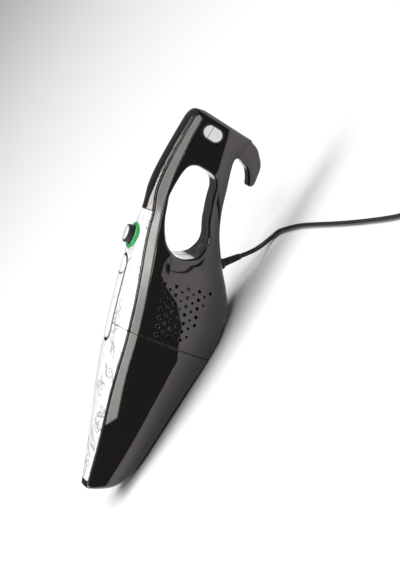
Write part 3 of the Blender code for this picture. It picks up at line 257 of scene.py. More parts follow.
# =====================================================================
# meshing: surface nets with normals from the field
# =====================================================================
def nets(F, y0=0.0, mirror=False):
    """Vertices (mm), faces and a normal sampler of the zero surface of F on the grid.
    mirror joins the left half, for pieces that cross Y = 0."""
    gy = GY
    if mirror:
        F = np.concatenate([F[:, :0:-1, :], F], axis=1)
        gy = np.concatenate([-GY[:0:-1], GY])
    m = F < 0
    ii = np.where(m.any(axis=(1, 2)))[0]
    jj = np.where(m.any(axis=(0, 2)))[0]
    kk = np.where(m.any(axis=(0, 1)))[0]
    i0, i1 = max(ii[0] - 2, 0), min(ii[-1] + 3, F.shape[0])
    j0, j1 = max(jj[0] - 2, 0), min(jj[-1] + 3, F.shape[1])
    k0, k1 = max(kk[0] - 2, 0), min(kk[-1] + 3, F.shape[2])
    F = np.pad(F[i0:i1, j0:j1, k0:k1], 1, constant_values=3.0).astype(np.float32)
    org = np.array([GX[i0] - H, gy[j0] - H, GZ[k0] - H])
    s = F < 0
    n = np.array(F.shape) - 1
    acc = np.zeros((*n, 3), np.float32)
    cnt = np.zeros(n, np.float32)
    for ax in range(3):
        a = [slice(None)] * 3
        b = [slice(None)] * 3
        a[ax], b[ax] = slice(0, -1), slice(1, None)
        fa, fb = F[tuple(a)], F[tuple(b)]
        idx = np.argwhere((fa < 0) != (fb < 0))
        va, vb = fa[tuple(idx.T)], fb[tuple(idx.T)]
        p = idx.astype(np.float32)
        p[:, ax] += va / (va - vb)
        o1, o2 = [q for q in range(3) if q != ax]
        for d1 in (0, -1):
            for d2 in (0, -1):
                c = idx.copy()
                c[:, o1] += d1
                c[:, o2] += d2
                ok = ((c >= 0) & (c < n)).all(1)
                np.add.at(acc, tuple(c[ok].T), p[ok])
                np.add.at(cnt, tuple(c[ok].T), 1.0)
    cells = np.argwhere(cnt > 0)
    vid = np.full(n, -1, np.int64)
    vid[tuple(cells.T)] = np.arange(len(cells))
    V = acc[tuple(cells.T)] / cnt[tuple(cells.T)][:, None]
    faces = []
    for ax in range(3):
        a = [slice(None)] * 3
        b = [slice(None)] * 3
        a[ax], b[ax] = slice(0, -1), slice(1, None)
        sa, sb = s[tuple(a)], s[tuple(b)]
        idx = np.argwhere(sa != sb)
        o1, o2 = [(1, 2), (2, 0), (0, 1)][ax]
        q = []
        for d1, d2 in ((-1, -1), (0, -1), (0, 0), (-1, 0)):
            c = idx.copy()
            c[:, o1] += d1
            c[:, o2] += d2
            c = np.clip(c, 0, n - 1)
            q.append(vid[tuple(c.T)])
        q = np.stack(q, 1)
        flip = ~sa[tuple(idx.T)]
        q[flip] = q[flip][:, ::-1]
        faces.append(q[(q >= 0).all(1)])
    return V * H + org, np.concatenate(faces), F, org


def sample(F, org, pts):
    q = (pts - org) / H
    q = np.clip(q, 0, np.array(F.shape) - 1.001)
    i = q.astype(int)
    t = q - i
    r = np.zeros(len(pts))
    for a in (0, 1):
        for b in (0, 1):
            for c in (0, 1):
                w = (t[:, 0] if a else 1 - t[:, 0]) * (t[:, 1] if b else 1 - t[:, 1]) * (t[:, 2] if c else 1 - t[:, 2])
                r += w * F[i[:, 0] + a, i[:, 1] + b, i[:, 2] + c]
    return r


def normals_of(F, org, pts, e=0.6):
    g = np.stack([sample(F, org, pts + d) - sample(F, org, pts - d) for d in np.eye(3) * e], 1)
    return g / np.clip(np.linalg.norm(g, axis=1)[:, None], 1e-6, None)


COLL = bpy.data.collections.new("looks")
bpy.context.scene.collection.children.link(COLL)


def new_object(name, me, mat=None):
    ob = bpy.data.objects.new(name, me)
    COLL.objects.link(ob)
    if mat is not None:
        ob.data.materials.append(mat)
    return ob


LINE = ((-204.8, 20), (-179, 22.8), (-135, 26.5), (-79, 31.7), (-36, 34.5), (-22.6, 42.6), (-2.5, 51.4), (15.9, 69.7), (24.2, 88.9),
        (32.4, 100), (45, 103), (60, 98), (100, 97), (150, 96), (161, 97), (204.8, 110))


def flank_tilt(co, n):
    """The moulding's slight outward lean above the line where the flank turns under."""
    zl = np.interp(co[:, 0], [p[0] for p in LINE], [p[1] for p in LINE])
    t = np.clip((co[:, 2] - zl + 1.5) / 3.0, 0, 1)
    u = np.clip((np.abs(n[:, 1]) - 0.7) / 0.2, 0, 1)
    w = t * t * (3 - 2 * t) * u * u * (3 - 2 * u)
    n = n.copy()
    n[:, 2] += np.clip(0.22 - n[:, 2], 0, None) * w
    n[:, 2] -= np.clip(n[:, 2] - 0.06, 0, 0.16) * (1 - t) * u
    return n / np.linalg.norm(n, axis=1)[:, None]


def field_piece(name, F, mat, ratio=0.45, mirror=False, flip=False, vents=None, tilt=False):
    """A piece from a field; flip makes the left-hand copy of a right-hand one."""
    V, Q, FF, org = nets(F, mirror=mirror)
    me = bpy.data.meshes.new(name)
    me.from_pydata((V * MM).tolist(), [], Q.tolist())
    me.update()
    ob = new_object(name, me, mat)
    if ratio < 1:
        m = ob.modifiers.new("d", 'DECIMATE')
        m.ratio = ratio
        m.use_collapse_triangulate = True
        bpy.context.view_layer.update()
        dg = bpy.context.evaluated_depsgraph_get()
        me2 = bpy.data.meshes.new_from_object(ob.evaluated_get(dg))
        ob.modifiers.clear()
        ob.data = me2
        bpy.data.meshes.remove(me)
        me = me2
        me.name = name
    co = np.empty(len(me.vertices) * 3, np.float32)
    me.vertices.foreach_get("co", co)
    co = co.reshape(-1, 3) / MM
    # one step onto the surface, then the field's normals
    nrm = normals_of(FF, org, co)
    d = sample(FF, org, co)
    co = co - nrm * np.clip(d, -0.4, 0.4)[:, None]
    if vents is not None:
        for vx, vz, vr in vents:
            dx, dz = co[:, 0] - vx, co[:, 2] - vz
            dd = np.hypot(dx, dz)
            k = (np.abs(dd - vr) < 0.42) & (co[:, 1] > 15.0) & (dd > 1e-3)
            co[k, 0] = vx + dx[k] / dd[k] * vr
            co[k, 2] = vz + dz[k] / dd[k] * vr
    if tilt:
        nrm = flank_tilt(co, nrm)
    co[:, 0] = np.clip(co[:, 0], -204.75, 204.75)
    co[:, 1] = np.clip(co[:, 1], -49.45, 49.45)
    co[:, 2] = np.clip(co[:, 2], 0.03, 153.5)
    if flip:
        co[:, 1] *= -1
        nrm[:, 1] *= -1
    me.vertices.foreach_set("co", (co * MM).astype(np.float32).ravel())
    if flip:
        me.flip_normals()
    me.update()
    me.shade_smooth()
    me.normals_split_custom_set_from_vertices(nrm.tolist())
    return ob


# =====================================================================
# materials
# =====================================================================
def lin(rgb):
    return tuple((c / 255.0 / 12.92) if c <= 10 else ((c / 255.0 + 0.055) / 1.055) ** 2.4 for c in rgb) + (1.0,)


def mat(name, rgb, rough, metal=0.0, coat=0.0, grain=400.0, bump=0.02, vary=0.03, spec=0.5, tint=0.03, extra=None):
    """Principled surface with fine procedural grain in colour, roughness and height."""
    m = bpy.data.materials.new(name)
    m.use_nodes = True
    nt = m.node_tree
    n, l = nt.nodes, nt.links
    b = n["Principled BSDF"]
    b.inputs["Metallic"].default_value = metal
    b.inputs["Coat Weight"].default_value = coat
    b.inputs["Coat Roughness"].default_value = 0.04
    b.inputs["Specular IOR Level"].default_value = spec
    tc = n.new("ShaderNodeTexCoord")
    big = n.new("ShaderNodeTexNoise")
    big.inputs["Scale"].default_value = 22.0
    big.inputs["Detail"].default_value = 3.0
    l.new(tc.outputs["Object"], big.inputs["Vector"])
    fine = n.new("ShaderNodeTexNoise")
    fine.inputs["Scale"].default_value = grain
    fine.inputs["Detail"].default_value = 2.0
    l.new(tc.outputs["Object"], fine.inputs["Vector"])
    rr = n.new("ShaderNodeMapRange")
    rr.inputs["To Min"].default_value = max(rough - vary, 0.02)
    rr.inputs["To Max"].default_value = rough + vary
    l.new(big.outputs["Fac"], rr.inputs["Value"])
    l.new(rr.outputs["Result"], b.inputs["Roughness"])
    mix = n.new("ShaderNodeMix")
    mix.data_type = 'RGBA'
    c = lin(rgb)
    mix.inputs["A"].default_value = tuple(v * (1 - tint) for v in c[:3]) + (1.0,)
    mix.inputs["B"].default_value = tuple(min(v * (1 + tint), 1.0) for v in c[:3]) + (1.0,)
    l.new(fine.outputs["Fac"], mix.inputs["Factor"])
    l.new(mix.outputs["Result"], b.inputs["Base Color"])
    bp = n.new("ShaderNodeBump")
    bp.inputs["Strength"].default_value = bump
    bp.inputs["Distance"].default_value = 0.0004
    l.new(fine.outputs["Fac"], bp.inputs["Height"])
    l.new(bp.outputs["Normal"], b.inputs["Normal"])
    if extra:
        extra(nt, b, tc, mix, bp)
    return m


def pattern_mix(nt, b, tc, mix, bp):
    """Soft grey scrolls, held in the mesh's scroll value."""
    at = nt.nodes.new("ShaderNodeAttribute")
    at.attribute_name = "scroll"
    m2 = nt.nodes.new("ShaderNodeMix")
    m2.data_type = 'RGBA'
    m2.inputs["B"].default_value = lin((150, 154, 159))
    nt.links.new(at.outputs["Fac"], m2.inputs["Factor"])
    nt.links.new(mix.outputs["Result"], m2.inputs["A"])
    nt.links.new(m2.outputs["Result"], b.inputs["Base Color"])


def divider(nt, b, tc, mix, bp):
    """Thin grey line across the button."""
    sx = nt.nodes.new("ShaderNodeSeparateXYZ")
    nt.links.new(tc.outputs["Object"], sx.inputs["Vector"])
    a = nt.nodes.new("ShaderNodeMath")
    a.operation = 'SUBTRACT'
    a.inputs[1].default_value = 0.1268
    nt.links.new(sx.outputs["Z"], a.inputs[0])
    c = nt.nodes.new("ShaderNodeMath")
    c.operation = 'ABSOLUTE'
    nt.links.new(a.outputs[0], c.inputs[0])
    d = nt.nodes.new("ShaderNodeMath")
    d.operation = 'LESS_THAN'
    d.inputs[1].default_value = 0.00035
    nt.links.new(c.outputs[0], d.inputs[0])
    m2 = nt.nodes.new("ShaderNodeMix")
    m2.data_type = 'RGBA'
    m2.inputs["B"].default_value = lin((120, 122, 124))
    nt.links.new(d.outputs[0], m2.inputs["Factor"])
    nt.links.new(mix.outputs["Result"], m2.inputs["A"])
    nt.links.new(m2.outputs["Result"], b.inputs["Base Color"])


def painted_glow(nt, b, tc, mix, bp):
    # painted glow: the green ring is a plain bezel, not a lamp; this emission stands in for the bright highlight on it
    b.inputs["Emission Color"].default_value = lin((30, 190, 95))
    b.inputs["Emission Strength"].default_value = 0.18


BLACK = mat("black_gloss", (13, 10, 9), 0.07, coat=0.75, spec=0.6, grain=900, bump=0.006, vary=0.02)
WHITE = mat("white_cover", (243, 244, 245), 0.2, coat=0.5, grain=900, bump=0.006, extra=pattern_mix, tint=0.01)
WHITE_PLAIN = mat("white_button", (243, 244, 245), 0.22, coat=0.4, grain=900, bump=0.006, tint=0.01, extra=divider)
GREY = mat("grey_trim", (158, 157, 154), 0.36, metal=0.35, grain=1600, bump=0.05, vary=0.04)
GREEN = mat("green_ring", (24, 160, 78), 0.12, coat=0.8, grain=700, bump=0.01, extra=painted_glow)
KNOB = mat("knob_dark", (58, 50, 51), 0.3, metal=0.3, grain=900, bump=0.03)
CAP = mat("bright_cap", (240, 241, 243), 0.18, metal=0.25, coat=0.5, grain=900, bump=0.01)
DARK = mat("dark_plastic", (30, 29, 30), 0.5, grain=900, bump=0.12)
RUBBER = mat("rubber_black", (26, 24, 24), 0.62, grain=1200, bump=0.15)
for m_ in (BLACK,):
    m_.node_tree.nodes["Principled BSDF"].inputs["Specular Tint"].default_value = (1.0, 0.93, 0.88, 1.0)
    m_.node_tree.nodes["Principled BSDF"].inputs["Coat Tint"].default_value = (1.0, 0.97, 0.95, 1.0)
CORD = mat("cord_jacket", (24, 21, 20), 0.42, grain=1500, bump=0.08, coat=0.1)
STEEL = mat("steel", (176, 178, 182), 0.3, metal=1.0, grain=1400, bump=0.05)
ALLOY = mat("alloy", (188, 190, 192), 0.42, metal=1.0, grain=1100, bump=0.08)
COPPER = mat("copper", (186, 108, 72), 0.34, metal=1.0, grain=1500, bump=0.12)
BRASS = mat("brass", (196, 164, 92), 0.28, metal=1.0, grain=1300, bump=0.05)
BOARD = mat("board_green", (26, 86, 52), 0.4, grain=800, bump=0.08)
CLOTH = mat("filter_cloth", (222, 220, 208), 0.85, grain=1800, bump=0.5, vary=0.06, tint=0.06)
SLOT_MAT = {"black_gloss": BLACK, "white_cover": WHITE_PLAIN, "grey_trim": GREY, "green_ring": GREEN, "knob_dark": KNOB,
            "bright_cap": CAP, "dark_plastic": DARK, "rubber_black": RUBBER, "cord_jacket": CORD, "steel": STEEL,
            "alloy": ALLOY, "copper": COPPER, "brass": BRASS, "board_green": BOARD, "filter_cloth": CLOTH}
slot_of = {c["node"]: c["material_slot"] for c in frame["record"]["subparts"]}
for name, ob in NODES.items():
    ob.data.materials.clear()
    ob.data.materials.append(SLOT_MAT.get(slot_of.get(name, "dark_plastic"), DARK))


def place(ob, body, slot, *nodes):
    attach(ob, body)
    if nodes:
        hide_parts(*nodes)
    return ob


# =====================================================================
# housing, container and covers
# =====================================================================
def max_of(*fs):
    r = fs[0]
    for f in fs[1:]:
        r = np.maximum(r, f)
    return r


mid, ang = (-187.0, 13.5), math.radians(49.0)
td, nd = (-math.cos(ang), math.sin(ang)), (-math.sin(ang), -math.cos(ang))
SM = (X3 - mid[0]) * td[0] + (Z3 - mid[1]) * td[1]
DM = (X3 - mid[0]) * nd[0] + (Z3 - mid[1]) * nd[1]
WM = 12.2 + (9.6 - 12.2) * np.clip((SM + 14.5) / 29.0, 0, 1)
qs = [np.abs(SM) - 12.1, np.abs(Y3) - (WM - 2.4), np.abs(DM) - 8.0]
MOUTH = (np.sqrt(sum(np.clip(q, 0, None) ** 2 for q in qs)) + np.minimum(max_of(*qs), 0) - 2.4).astype(np.float32)
SHELL = smax(SHELL, -MOUTH, 1.2)

RECESS = max_of(STRIP_F - 0.35, -1.6 - D, 5.0 - Y3)
shell_f = max_of(SHELL, P3 + 0.2, np.minimum(E3 + 0.15, NOSE + 0.2), -RECESS)
container = field_piece("container_shell_looks", shell_f, BLACK, ratio=0.5, mirror=True, tilt=True)
place(container, "container", "black_gloss", "container_shell")

cover_f = max_of(smax(SHELL, -E3 + 0.15, 0.5), P3 + 0.2, -NOSE + 0.1, -(ST3 - 3.4))
cover = field_piece("container_cover_looks", cover_f, WHITE, ratio=1.0, mirror=True)
place(cover, "container", "white_cover", "container_cover")

GRIP_X = 84.0
split = (X3 - GRIP_X) * 0.94 + (Z3 - 140.0) * 0.34
rear_f = max_of(smax(SHELL, -E3 + 0.15, 0.5), -P3 + 0.2, -(ST3 - 3.4), -np.maximum(RD - 14.8, np.abs(HD) - 9))
rear = field_piece("rear_cover_looks", np.maximum(rear_f, split + 0.12), WHITE, ratio=1.0, mirror=True)
place(rear, "motor_unit", "white_cover", "rear_cover")
grip = field_piece("rear_cover_grip_looks", max_of(rear_f, -split + 0.12, -TAIL + 0.1), BLACK, ratio=0.6, mirror=True)
place(grip, "motor_unit", "black_gloss", "rear_cover")


def vent_list():
    out = []
    for i in range(7):
        for j in range(5):
            x = VENT_A[0] + i * VENT_V[0] + j * VENT_U[0]
            z = VENT_A[1] + i * VENT_V[1] + j * VENT_U[1]
            if z > 38.0:
                out.append((x, z, 1.85))
            xs, zs = x + 0.5 * (VENT_U[0] + VENT_V[0]), z + 0.5 * (VENT_U[1] + VENT_V[1])
            if zs > 38.0 and i < 6:
                out.append((xs, zs, 1.35))
    return out


VENTS = vent_list()
vent_f = np.full(X2.shape, 99.0)
for vx, vz, vr in VENTS:
    vent_f = np.minimum(vent_f, np.hypot(X2 - vx, Z2 - vz) - vr)
VENT_F = vent_f.astype(np.float32)[:, None, :]
half_f = max_of(SHELL, -P3 + 0.2, np.minimum(E3 + 0.15, TAIL + 0.2), 0.12 - Y3, -RECESS,
                -np.maximum(VENT_F, 15.0 - Y3), -np.maximum(RG - 4.4, np.maximum(SG - 6, -SG - 14)))
right_f = half_f.copy()
for sx, sz in SCREWS:
    rc = np.hypot(X3 - sx, Z3 - sz) + 0 * Y3
    right_f = np.minimum(right_f, max_of(rc - 4.5, D + 1.2, 9.6 - Y3))
    right_f = np.maximum(right_f, -np.maximum(rc - 3.4, 9.8 - Y3))
bx, bz = X3 - BUTTON[0], np.abs(Z3 - BUTTON[1])
BUT = np.hypot(bx, np.clip(bz - 3.75, 0, None)) - 7.25
left_f = np.maximum(half_f, -np.maximum(BUT - 2.0 + 0 * Y3, 8.0 - Y3))
FAR = field_piece("housing_right_looks", right_f, BLACK, ratio=0.75, vents=VENTS, tilt=True)
place(FAR, "motor_unit", "black_gloss", "housing_right")
NEAR = field_piece("housing_left_looks", left_f, BLACK, ratio=0.8, flip=True, vents=VENTS, tilt=True)
place(NEAR, "motor_unit", "black_gloss", "housing_left")

strip_f = max_of(smax(STRIP_F + 0 * Y3, D + 0.05, 0.4), -D - 1.4, 5.3 - Y3)
for side, fl in (("left", True), ("right", False)):
    for part, f, body in (("front", P3 + 0.2, "container"), ("rear", -P3 + 0.2, "motor_unit")):
        t = field_piece("side_trim_%s_%s_looks" % (side, part), np.maximum(strip_f, f), GREY, ratio=0.6, flip=fl)
        place(t, body, "grey_trim", "side_trim_%s_%s" % (side, part))

for part, f, body in (("front", P3 + 0.2, "container"), ("rear", -P3 + 0.2, "motor_unit")):
    groove = field_piece("latch_groove_%s" % part, max_of(ST3 - 3.3, 1.7 - ST3, D + 1.0, -D - 2.6, f), DARK, ratio=0.7, mirror=True)
    place(groove, body, "dark_plastic")
pz = float(f_top(-6.0)) - 6.0
lug = np.maximum(np.hypot(X3 + 6.0, Z3 - pz) - 4.2 + 0 * Y3, Y3 - 5.0)
lever_f = np.minimum(np.maximum(smax(ST3, D - 0.55, 1.2), -D - 1.9), lug)
lever = field_piece("latch_lever_looks", lever_f, WHITE_PLAIN, ratio=0.7, mirror=True)
place(lever, "latch", "white_cover", "latch_lever")


# =====================================================================
# scroll pattern on the white covers, as a value on the mesh
# =====================================================================
def scroll_lines():
    """Curls and leaf stems seen from above, in X, Y millimetres: (points, half width)."""
    rng = np.random.default_rng(11)
    out = []

    def curl(x, y, r, a0, turn, w):
        a = np.linspace(0, 1, 40)
        rad = r * (1 - a) ** 0.8 + 0.4
        th = a0 + turn * a * 2 * math.pi
        out.append((np.stack([x + rad * np.cos(th), y + rad * np.sin(th)], 1), w * (1 - 0.55 * a)))

    def stem(x, y, a, length, bend, w):
        s = np.linspace(0, 1, 40)
        th = a + bend * s * s
        step = length / 39.0
        px = x + np.cumsum(np.cos(th)) * step
        py = y + np.cumsum(np.sin(th)) * step
        out.append((np.stack([px, py], 1), w * np.sin(np.pi * np.clip(s * 0.9 + 0.08, 0, 1)) + 0.15))
    for side in (-1, 1):
        for x0, x1, n in ((-180, -64, 7), (-52, 22, 5), (38, 74, 2)):
            for x in np.linspace(x0, x1, n):
                b = float(f_b(x))
                y = side * b * rng.uniform(0.3, 0.8)
                r = rng.uniform(4.5, 8.5)
                d = rng.choice([-1, 1])
                curl(x, y, r, rng.uniform(0, 6.28), d * rng.uniform(1.1, 1.6), 0.55)
                for k in range(3):
                    stem(x + rng.uniform(-7, 7), y + rng.uniform(-6, 6), rng.uniform(0, 6.28), rng.uniform(9, 18),
                         rng.uniform(-2.2, 2.2), rng.uniform(0.5, 1.1))
    return out


def paint_scrolls(ob):
    me = ob.data
    co = np.empty(len(me.vertices) * 3, np.float32)
    me.vertices.foreach_get("co", co)
    co = co.reshape(-1, 3) / MM
    val = np.zeros(len(co))
    soft = 0.75 * H
    for pts, w in LINES:
        lo, hi = pts.min(0) - 3, pts.max(0) + 3
        near = np.where((co[:, 0] > lo[0]) & (co[:, 0] < hi[0]) & (co[:, 1] > lo[1]) & (co[:, 1] < hi[1]))[0]
        if not len(near):
            continue
        q = co[near, :2]
        d2 = (q[:, None, 0] - pts[None, :, 0]) ** 2 + (q[:, None, 1] - pts[None, :, 1]) ** 2
        k = d2.argmin(1)
        d = np.sqrt(d2[np.arange(len(q)), k]) - np.asarray(w)[k]
        val[near] = np.maximum(val[near], np.clip(1 - d / soft, 0, 1) * 0.8)
    # faint petals between the curls
    petal = 0.5 + 0.5 * np.sin(co[:, 0] * 0.31 + 1.7 * np.sin(co[:, 1] * 0.24)) * np.sin(co[:, 1] * 0.37 + 1.3 * np.sin(co[:, 0] * 0.19))
    val = np.maximum(val, np.clip(petal - 0.72, 0, 1) * 0.9)
    a = me.attributes.new("scroll", 'FLOAT', 'POINT')
    a.data.foreach_set("value", val.astype(np.float32))


LINES = scroll_lines()
paint_scrolls(cover)
paint_scrolls(rear)


# =====================================================================
# turned and shaped pieces
# =====================================================================
def axis_matrix(origin, axis):
    q = Vector((0, 0, 1)).rotation_difference(Vector(axis))
    return Matrix.Translation(Vector(origin) * MM) @ q.to_matrix().to_4x4()


def rounded(profile, r, n=4):
    """Profile corners (radius, height) replaced by small arcs."""
    P = [np.array(p, float) for p in profile]
    out = [P[0]]
    for i in range(1, len(P) - 1):
        a, b, c = P[i - 1], P[i], P[i + 1]
        la, lc = np.linalg.norm(a - b), np.linalg.norm(c - b)
        q = min(r, la * 0.45, lc * 0.45)
        s, e = b + (a - b) / la * q, b + (c - b) / lc * q
        for t in np.linspace(0, 1, n + 1):
            out.append((1 - t) ** 2 * s + 2 * t * (1 - t) * b + t * t * e)
    out.append(P[-1])
    return out


def finish_mesh(name, bm, matrix, material, angle=35.0):
    bmesh.ops.recalc_face_normals(bm, faces=bm.faces)
    if bm.calc_volume(signed=True) < 0:
        bmesh.ops.reverse_faces(bm, faces=bm.faces)
    me = bpy.data.meshes.new(name)
    bm.to_mesh(me)
    bm.free()
    me.transform(matrix)
    me.shade_smooth()
    me.set_sharp_from_angle(angle=math.radians(angle))
    return new_object(name, me, material)


def lathe(name, profile, origin, axis, material, steps=96, r=0.3, closed=False, wave=None):
    pr = rounded_closed(profile, r) if closed else rounded(profile, r)
    bm = bmesh.new()
    rows = []
    for rad, h in pr:
        if rad < 1e-6:
            rows.append([bm.verts.new((0, 0, h * MM))])
        else:
            row = []
            for k in range(steps):
                a = 2 * math.pi * k / steps
                rr = rad + (wave(rad, h, k, steps) if wave else 0.0)
                row.append(bm.verts.new((rr * math.cos(a) * MM, rr * math.sin(a) * MM, h * MM)))
            rows.append(row)
    pairs = list(zip(rows, rows[1:])) + ([(rows[-1], rows[0])] if closed else [])
    for a, b in pairs:
        for k in range(steps):
            k2 = (k + 1) % steps
            if len(a) == 1 and len(b) == 1:
                break
            if len(a) == 1:
                bm.faces.new((a[0], b[k], b[k2]))
            elif len(b) == 1:
                bm.faces.new((a[k], a[k2], b[0]))
            else:
                bm.faces.new((a[k], a[k2], b[k2], b[k]))
    return finish_mesh(name, bm, axis_matrix(origin, axis), material)


def rounded_closed(profile, r, n=4):
    P = [np.array(p, float) for p in profile]
    out = []
    for i in range(len(P)):
        a, b, c = P[i - 1], P[i], P[(i + 1) % len(P)]
        la, lc = np.linalg.norm(a - b), np.linalg.norm(c - b)
        q = min(r, la * 0.45, lc * 0.45)
        s, e = b + (a - b) / la * q, b + (c - b) / lc * q
        for t in np.linspace(0, 1, n + 1):
            out.append((1 - t) ** 2 * s + 2 * t * (1 - t) * b + t * t * e)
    return out


# the green bezel round the dial, carrying the painted glow of its material
ring_piece = lathe("dial_ring_painted_glow_looks", ((13.9, 0.8), (14.5, 0.2), (14.5, -3.6), (3.0, -3.6), (3.0, -1.5), (11.2, -1.5), (11.2, 0.8)),
                   dp, dn, GREEN, closed=True, r=0.35)
place(ring_piece, "motor_unit", "green_ring", "dial_light_ring")


def grip_wave(rad, h, k, steps):
    return -0.22 * (1 - math.cos(2 * math.pi * k * 24 / steps)) * 0.5 if 9.9 < rad and 0.0 < h < 6.0 else 0.0


knob = lathe("dial_knob_looks", ((0, 5.4), (8.3, 5.4), (8.3, 7.0), (9.3, 7.0), (10.0, 6.3), (10.4, 0.4), (10.5, -1.2), (2.4, -1.2),
                                 (2.4, -9.5), (0, -9.5)), dp, dn, KNOB, r=0.3, steps=192, wave=grip_wave)
place(knob, "dial", "knob_dark", "dial_knob")
cap = lathe("dial_cap_looks", ((0, 8.5), (4.5, 8.42), (7.0, 7.95), (8.0, 7.1), (8.0, 5.7), (0, 5.7)), dp, dn, CAP, r=0.4)
place(cap, "dial", "bright_cap", "dial_cap")


def oval_stack(name, rings, material, angle=40):
    """Loops of an upright oval about the button, (growth, Y), closed at both ends."""
    bm = bmesh.new()
    rows = []
    for g, y in rings:
        r = max(7.25 + g, 0.3)
        row = []
        for k in range(64):
            a = 2 * math.pi * k / 64
            zc = 3.75 if math.sin(a) >= 0 else -3.75
            row.append(bm.verts.new(((BUTTON[0] + r * math.cos(a)) * MM, y * MM, (BUTTON[1] + zc + r * math.sin(a)) * MM)))
        rows.append(row)
    for a, b in zip(rows, rows[1:]):
        for k in range(64):
            bm.faces.new((a[k], a[(k + 1) % 64], b[(k + 1) % 64], b[k]))
    bm.faces.new(rows[0])
    bm.faces.new(list(reversed(rows[-1])))
    return finish_mesh(name, bm, Matrix.Identity(4), material, angle)


button = oval_stack("power_button_looks", ((-6.0, -20.38), (-4.0, -20.34), (-2.4, -20.2), (-1.2, -20.0), (-0.5, -19.7),
                                           (-0.12, -19.3), (0.0, -18.8), (0.0, -15.9)), WHITE_PLAIN)
place(button, "button", "white_cover", "power_button")
bm = bmesh.new()
rows = []
for g, y in ((0.4, -16.8), (0.4, -19.45), (0.6, -19.7), (1.4, -19.7), (1.7, -19.4), (1.7, -16.8)):
    row = []
    for k in range(64):
        a = 2 * math.pi * k / 64
        zc = 3.75 if math.sin(a) >= 0 else -3.75
        row.append(bm.verts.new(((BUTTON[0] + (7.25 + g) * math.cos(a)) * MM, y * MM,
                                 (BUTTON[1] + zc + (7.25 + g) * math.sin(a)) * MM)))
    rows.append(row)
for a, b in zip(rows, rows[1:] + rows[:1]):
    for k in range(64):
        bm.faces.new((a[k], a[(k + 1) % 64], b[(k + 1) % 64], b[k]))
bezel = finish_mesh("button_bezel_looks", bm, Matrix.Identity(4), DARK)
place(bezel, "motor_unit", "dark_plastic", "button_bezel")

relief_profile = [(0, 25.5), (3.4, 25.5)]
for k in range(7):
    s = 24.2 - k * 2.5
    rr = 3.45 + (25.5 - s) / 19.3 * 1.15
    relief_profile += [(rr, s + 0.35), (rr - 0.5, s), (rr - 0.45, s - 0.6), (rr + 0.05, s - 0.95)]
relief_profile += [(4.6, 6.2), (5.6, 5.6), (6.4, 4.6), (6.4, 2.5), (4.1, 2.5), (4.1, -3.3), (6.0, -3.3), (6.0, -6.0), (0, -6.0)]
relief = lathe("strain_relief_looks", relief_profile, g0, gd, RUBBER, r=0.25, steps=64)
place(relief, "motor_unit", "rubber_black", "strain_relief")

# plug, its pins and the clip on the coil
COIL_C, PX = (262.0, -400.0), 301.0
bm = bmesh.new()
bmesh.ops.create_cube(bm, size=1.0)
for v in bm.verts:
    rear_end = v.co.y < 0
    v.co = Vector((PX + v.co.x * (19.0 if rear_end else 25.8), -300.75 + v.co.y * 34.3, 7.0 + v.co.z * (12.4 if rear_end else 13.9))) * MM
bmesh.ops.bevel(bm, geom=list(bm.edges), offset=2.8 * MM, segments=4, affect='EDGES', profile=0.5)
plug = finish_mesh("plug_body_looks", bm, Matrix.Identity(4), RUBBER)
place(plug, "motor_unit", "dark_plastic", "plug_body")
for k, x in ((1, PX - 9.5), (2, PX + 9.5)):
    p = lathe("plug_pin_%d_looks" % k, ((0, 18.7), (0.9, 18.6), (1.7, 17.9), (2.0, 16.6), (2.0, 10.0), (1.85, 9.7), (1.85, 0.2), (0, 0.2)),
              (x, -283.2, 7.0), (0, 1, 0), BRASS, r=0.2, steps=32)
    place(p, "motor_unit", "brass", "plug_pin_%d" % k)
bm = bmesh.new()
clip = [(52.6, 3), (52.6, 22.2), (51.2, 23.5), (26.0, 23.5), (24.8, 22.2), (24.8, 3), (26.0, 3), (26.0, 21.4), (26.6, 22.3), (50.9, 22.3),
        (51.4, 21.4), (51.4, 3)]
a = [bm.verts.new((x * MM, -3.4 * MM, z * MM)) for x, z in clip]
b = [bm.verts.new((x * MM, 3.4 * MM, z * MM)) for x, z in clip]
for k in range(len(clip)):
    k2 = (k + 1) % len(clip)
    bm.faces.new((a[k], a[k2], b[k2], b[k]))
bm.faces.new(a)
bm.faces.new(list(reversed(b)))
bmesh.ops.recalc_face_normals(bm, faces=bm.faces)
bmesh.ops.bevel(bm, geom=[e for e in bm.edges if len(e.link_faces) == 2 and e.calc_face_angle() > 1.2], offset=0.3 * MM, segments=2,
                affect='EDGES')
clip_piece = finish_mesh("cord_clip_looks", bm, Matrix.Translation((COIL_C[0] * MM, COIL_C[1] * MM, 0))
                         @ Matrix.Rotation(math.radians(-55), 4, 'Z'), DARK)
place(clip_piece, "motor_unit", "dark_plastic", "cord_clip")

# =====================================================================
# the cord: one length from the strain relief to the plug
# =====================================================================
CORD_R = 2.5
c0 = g0 + gd * 25.85
route = [tuple(g0 + gd * 22.0), tuple(c0), tuple(c0 + gd * 8.0),
         (108.6, 0.0, 9.6), (118.5, -1.2, 5.3), (128.5, -5.4, 3.0), (136.8, -13.4, 2.6), (142.0, -26.0, 2.6), (152.6, -63.8, 2.6),
         (161.0, -108.9, 2.6), (170.0, -160.0, 2.6), (183.0, -225.0, 2.6), (197.0, -285.0, 2.6), (213.0, -335.0, 2.6),
         (219.0, -365.0, 2.6)]


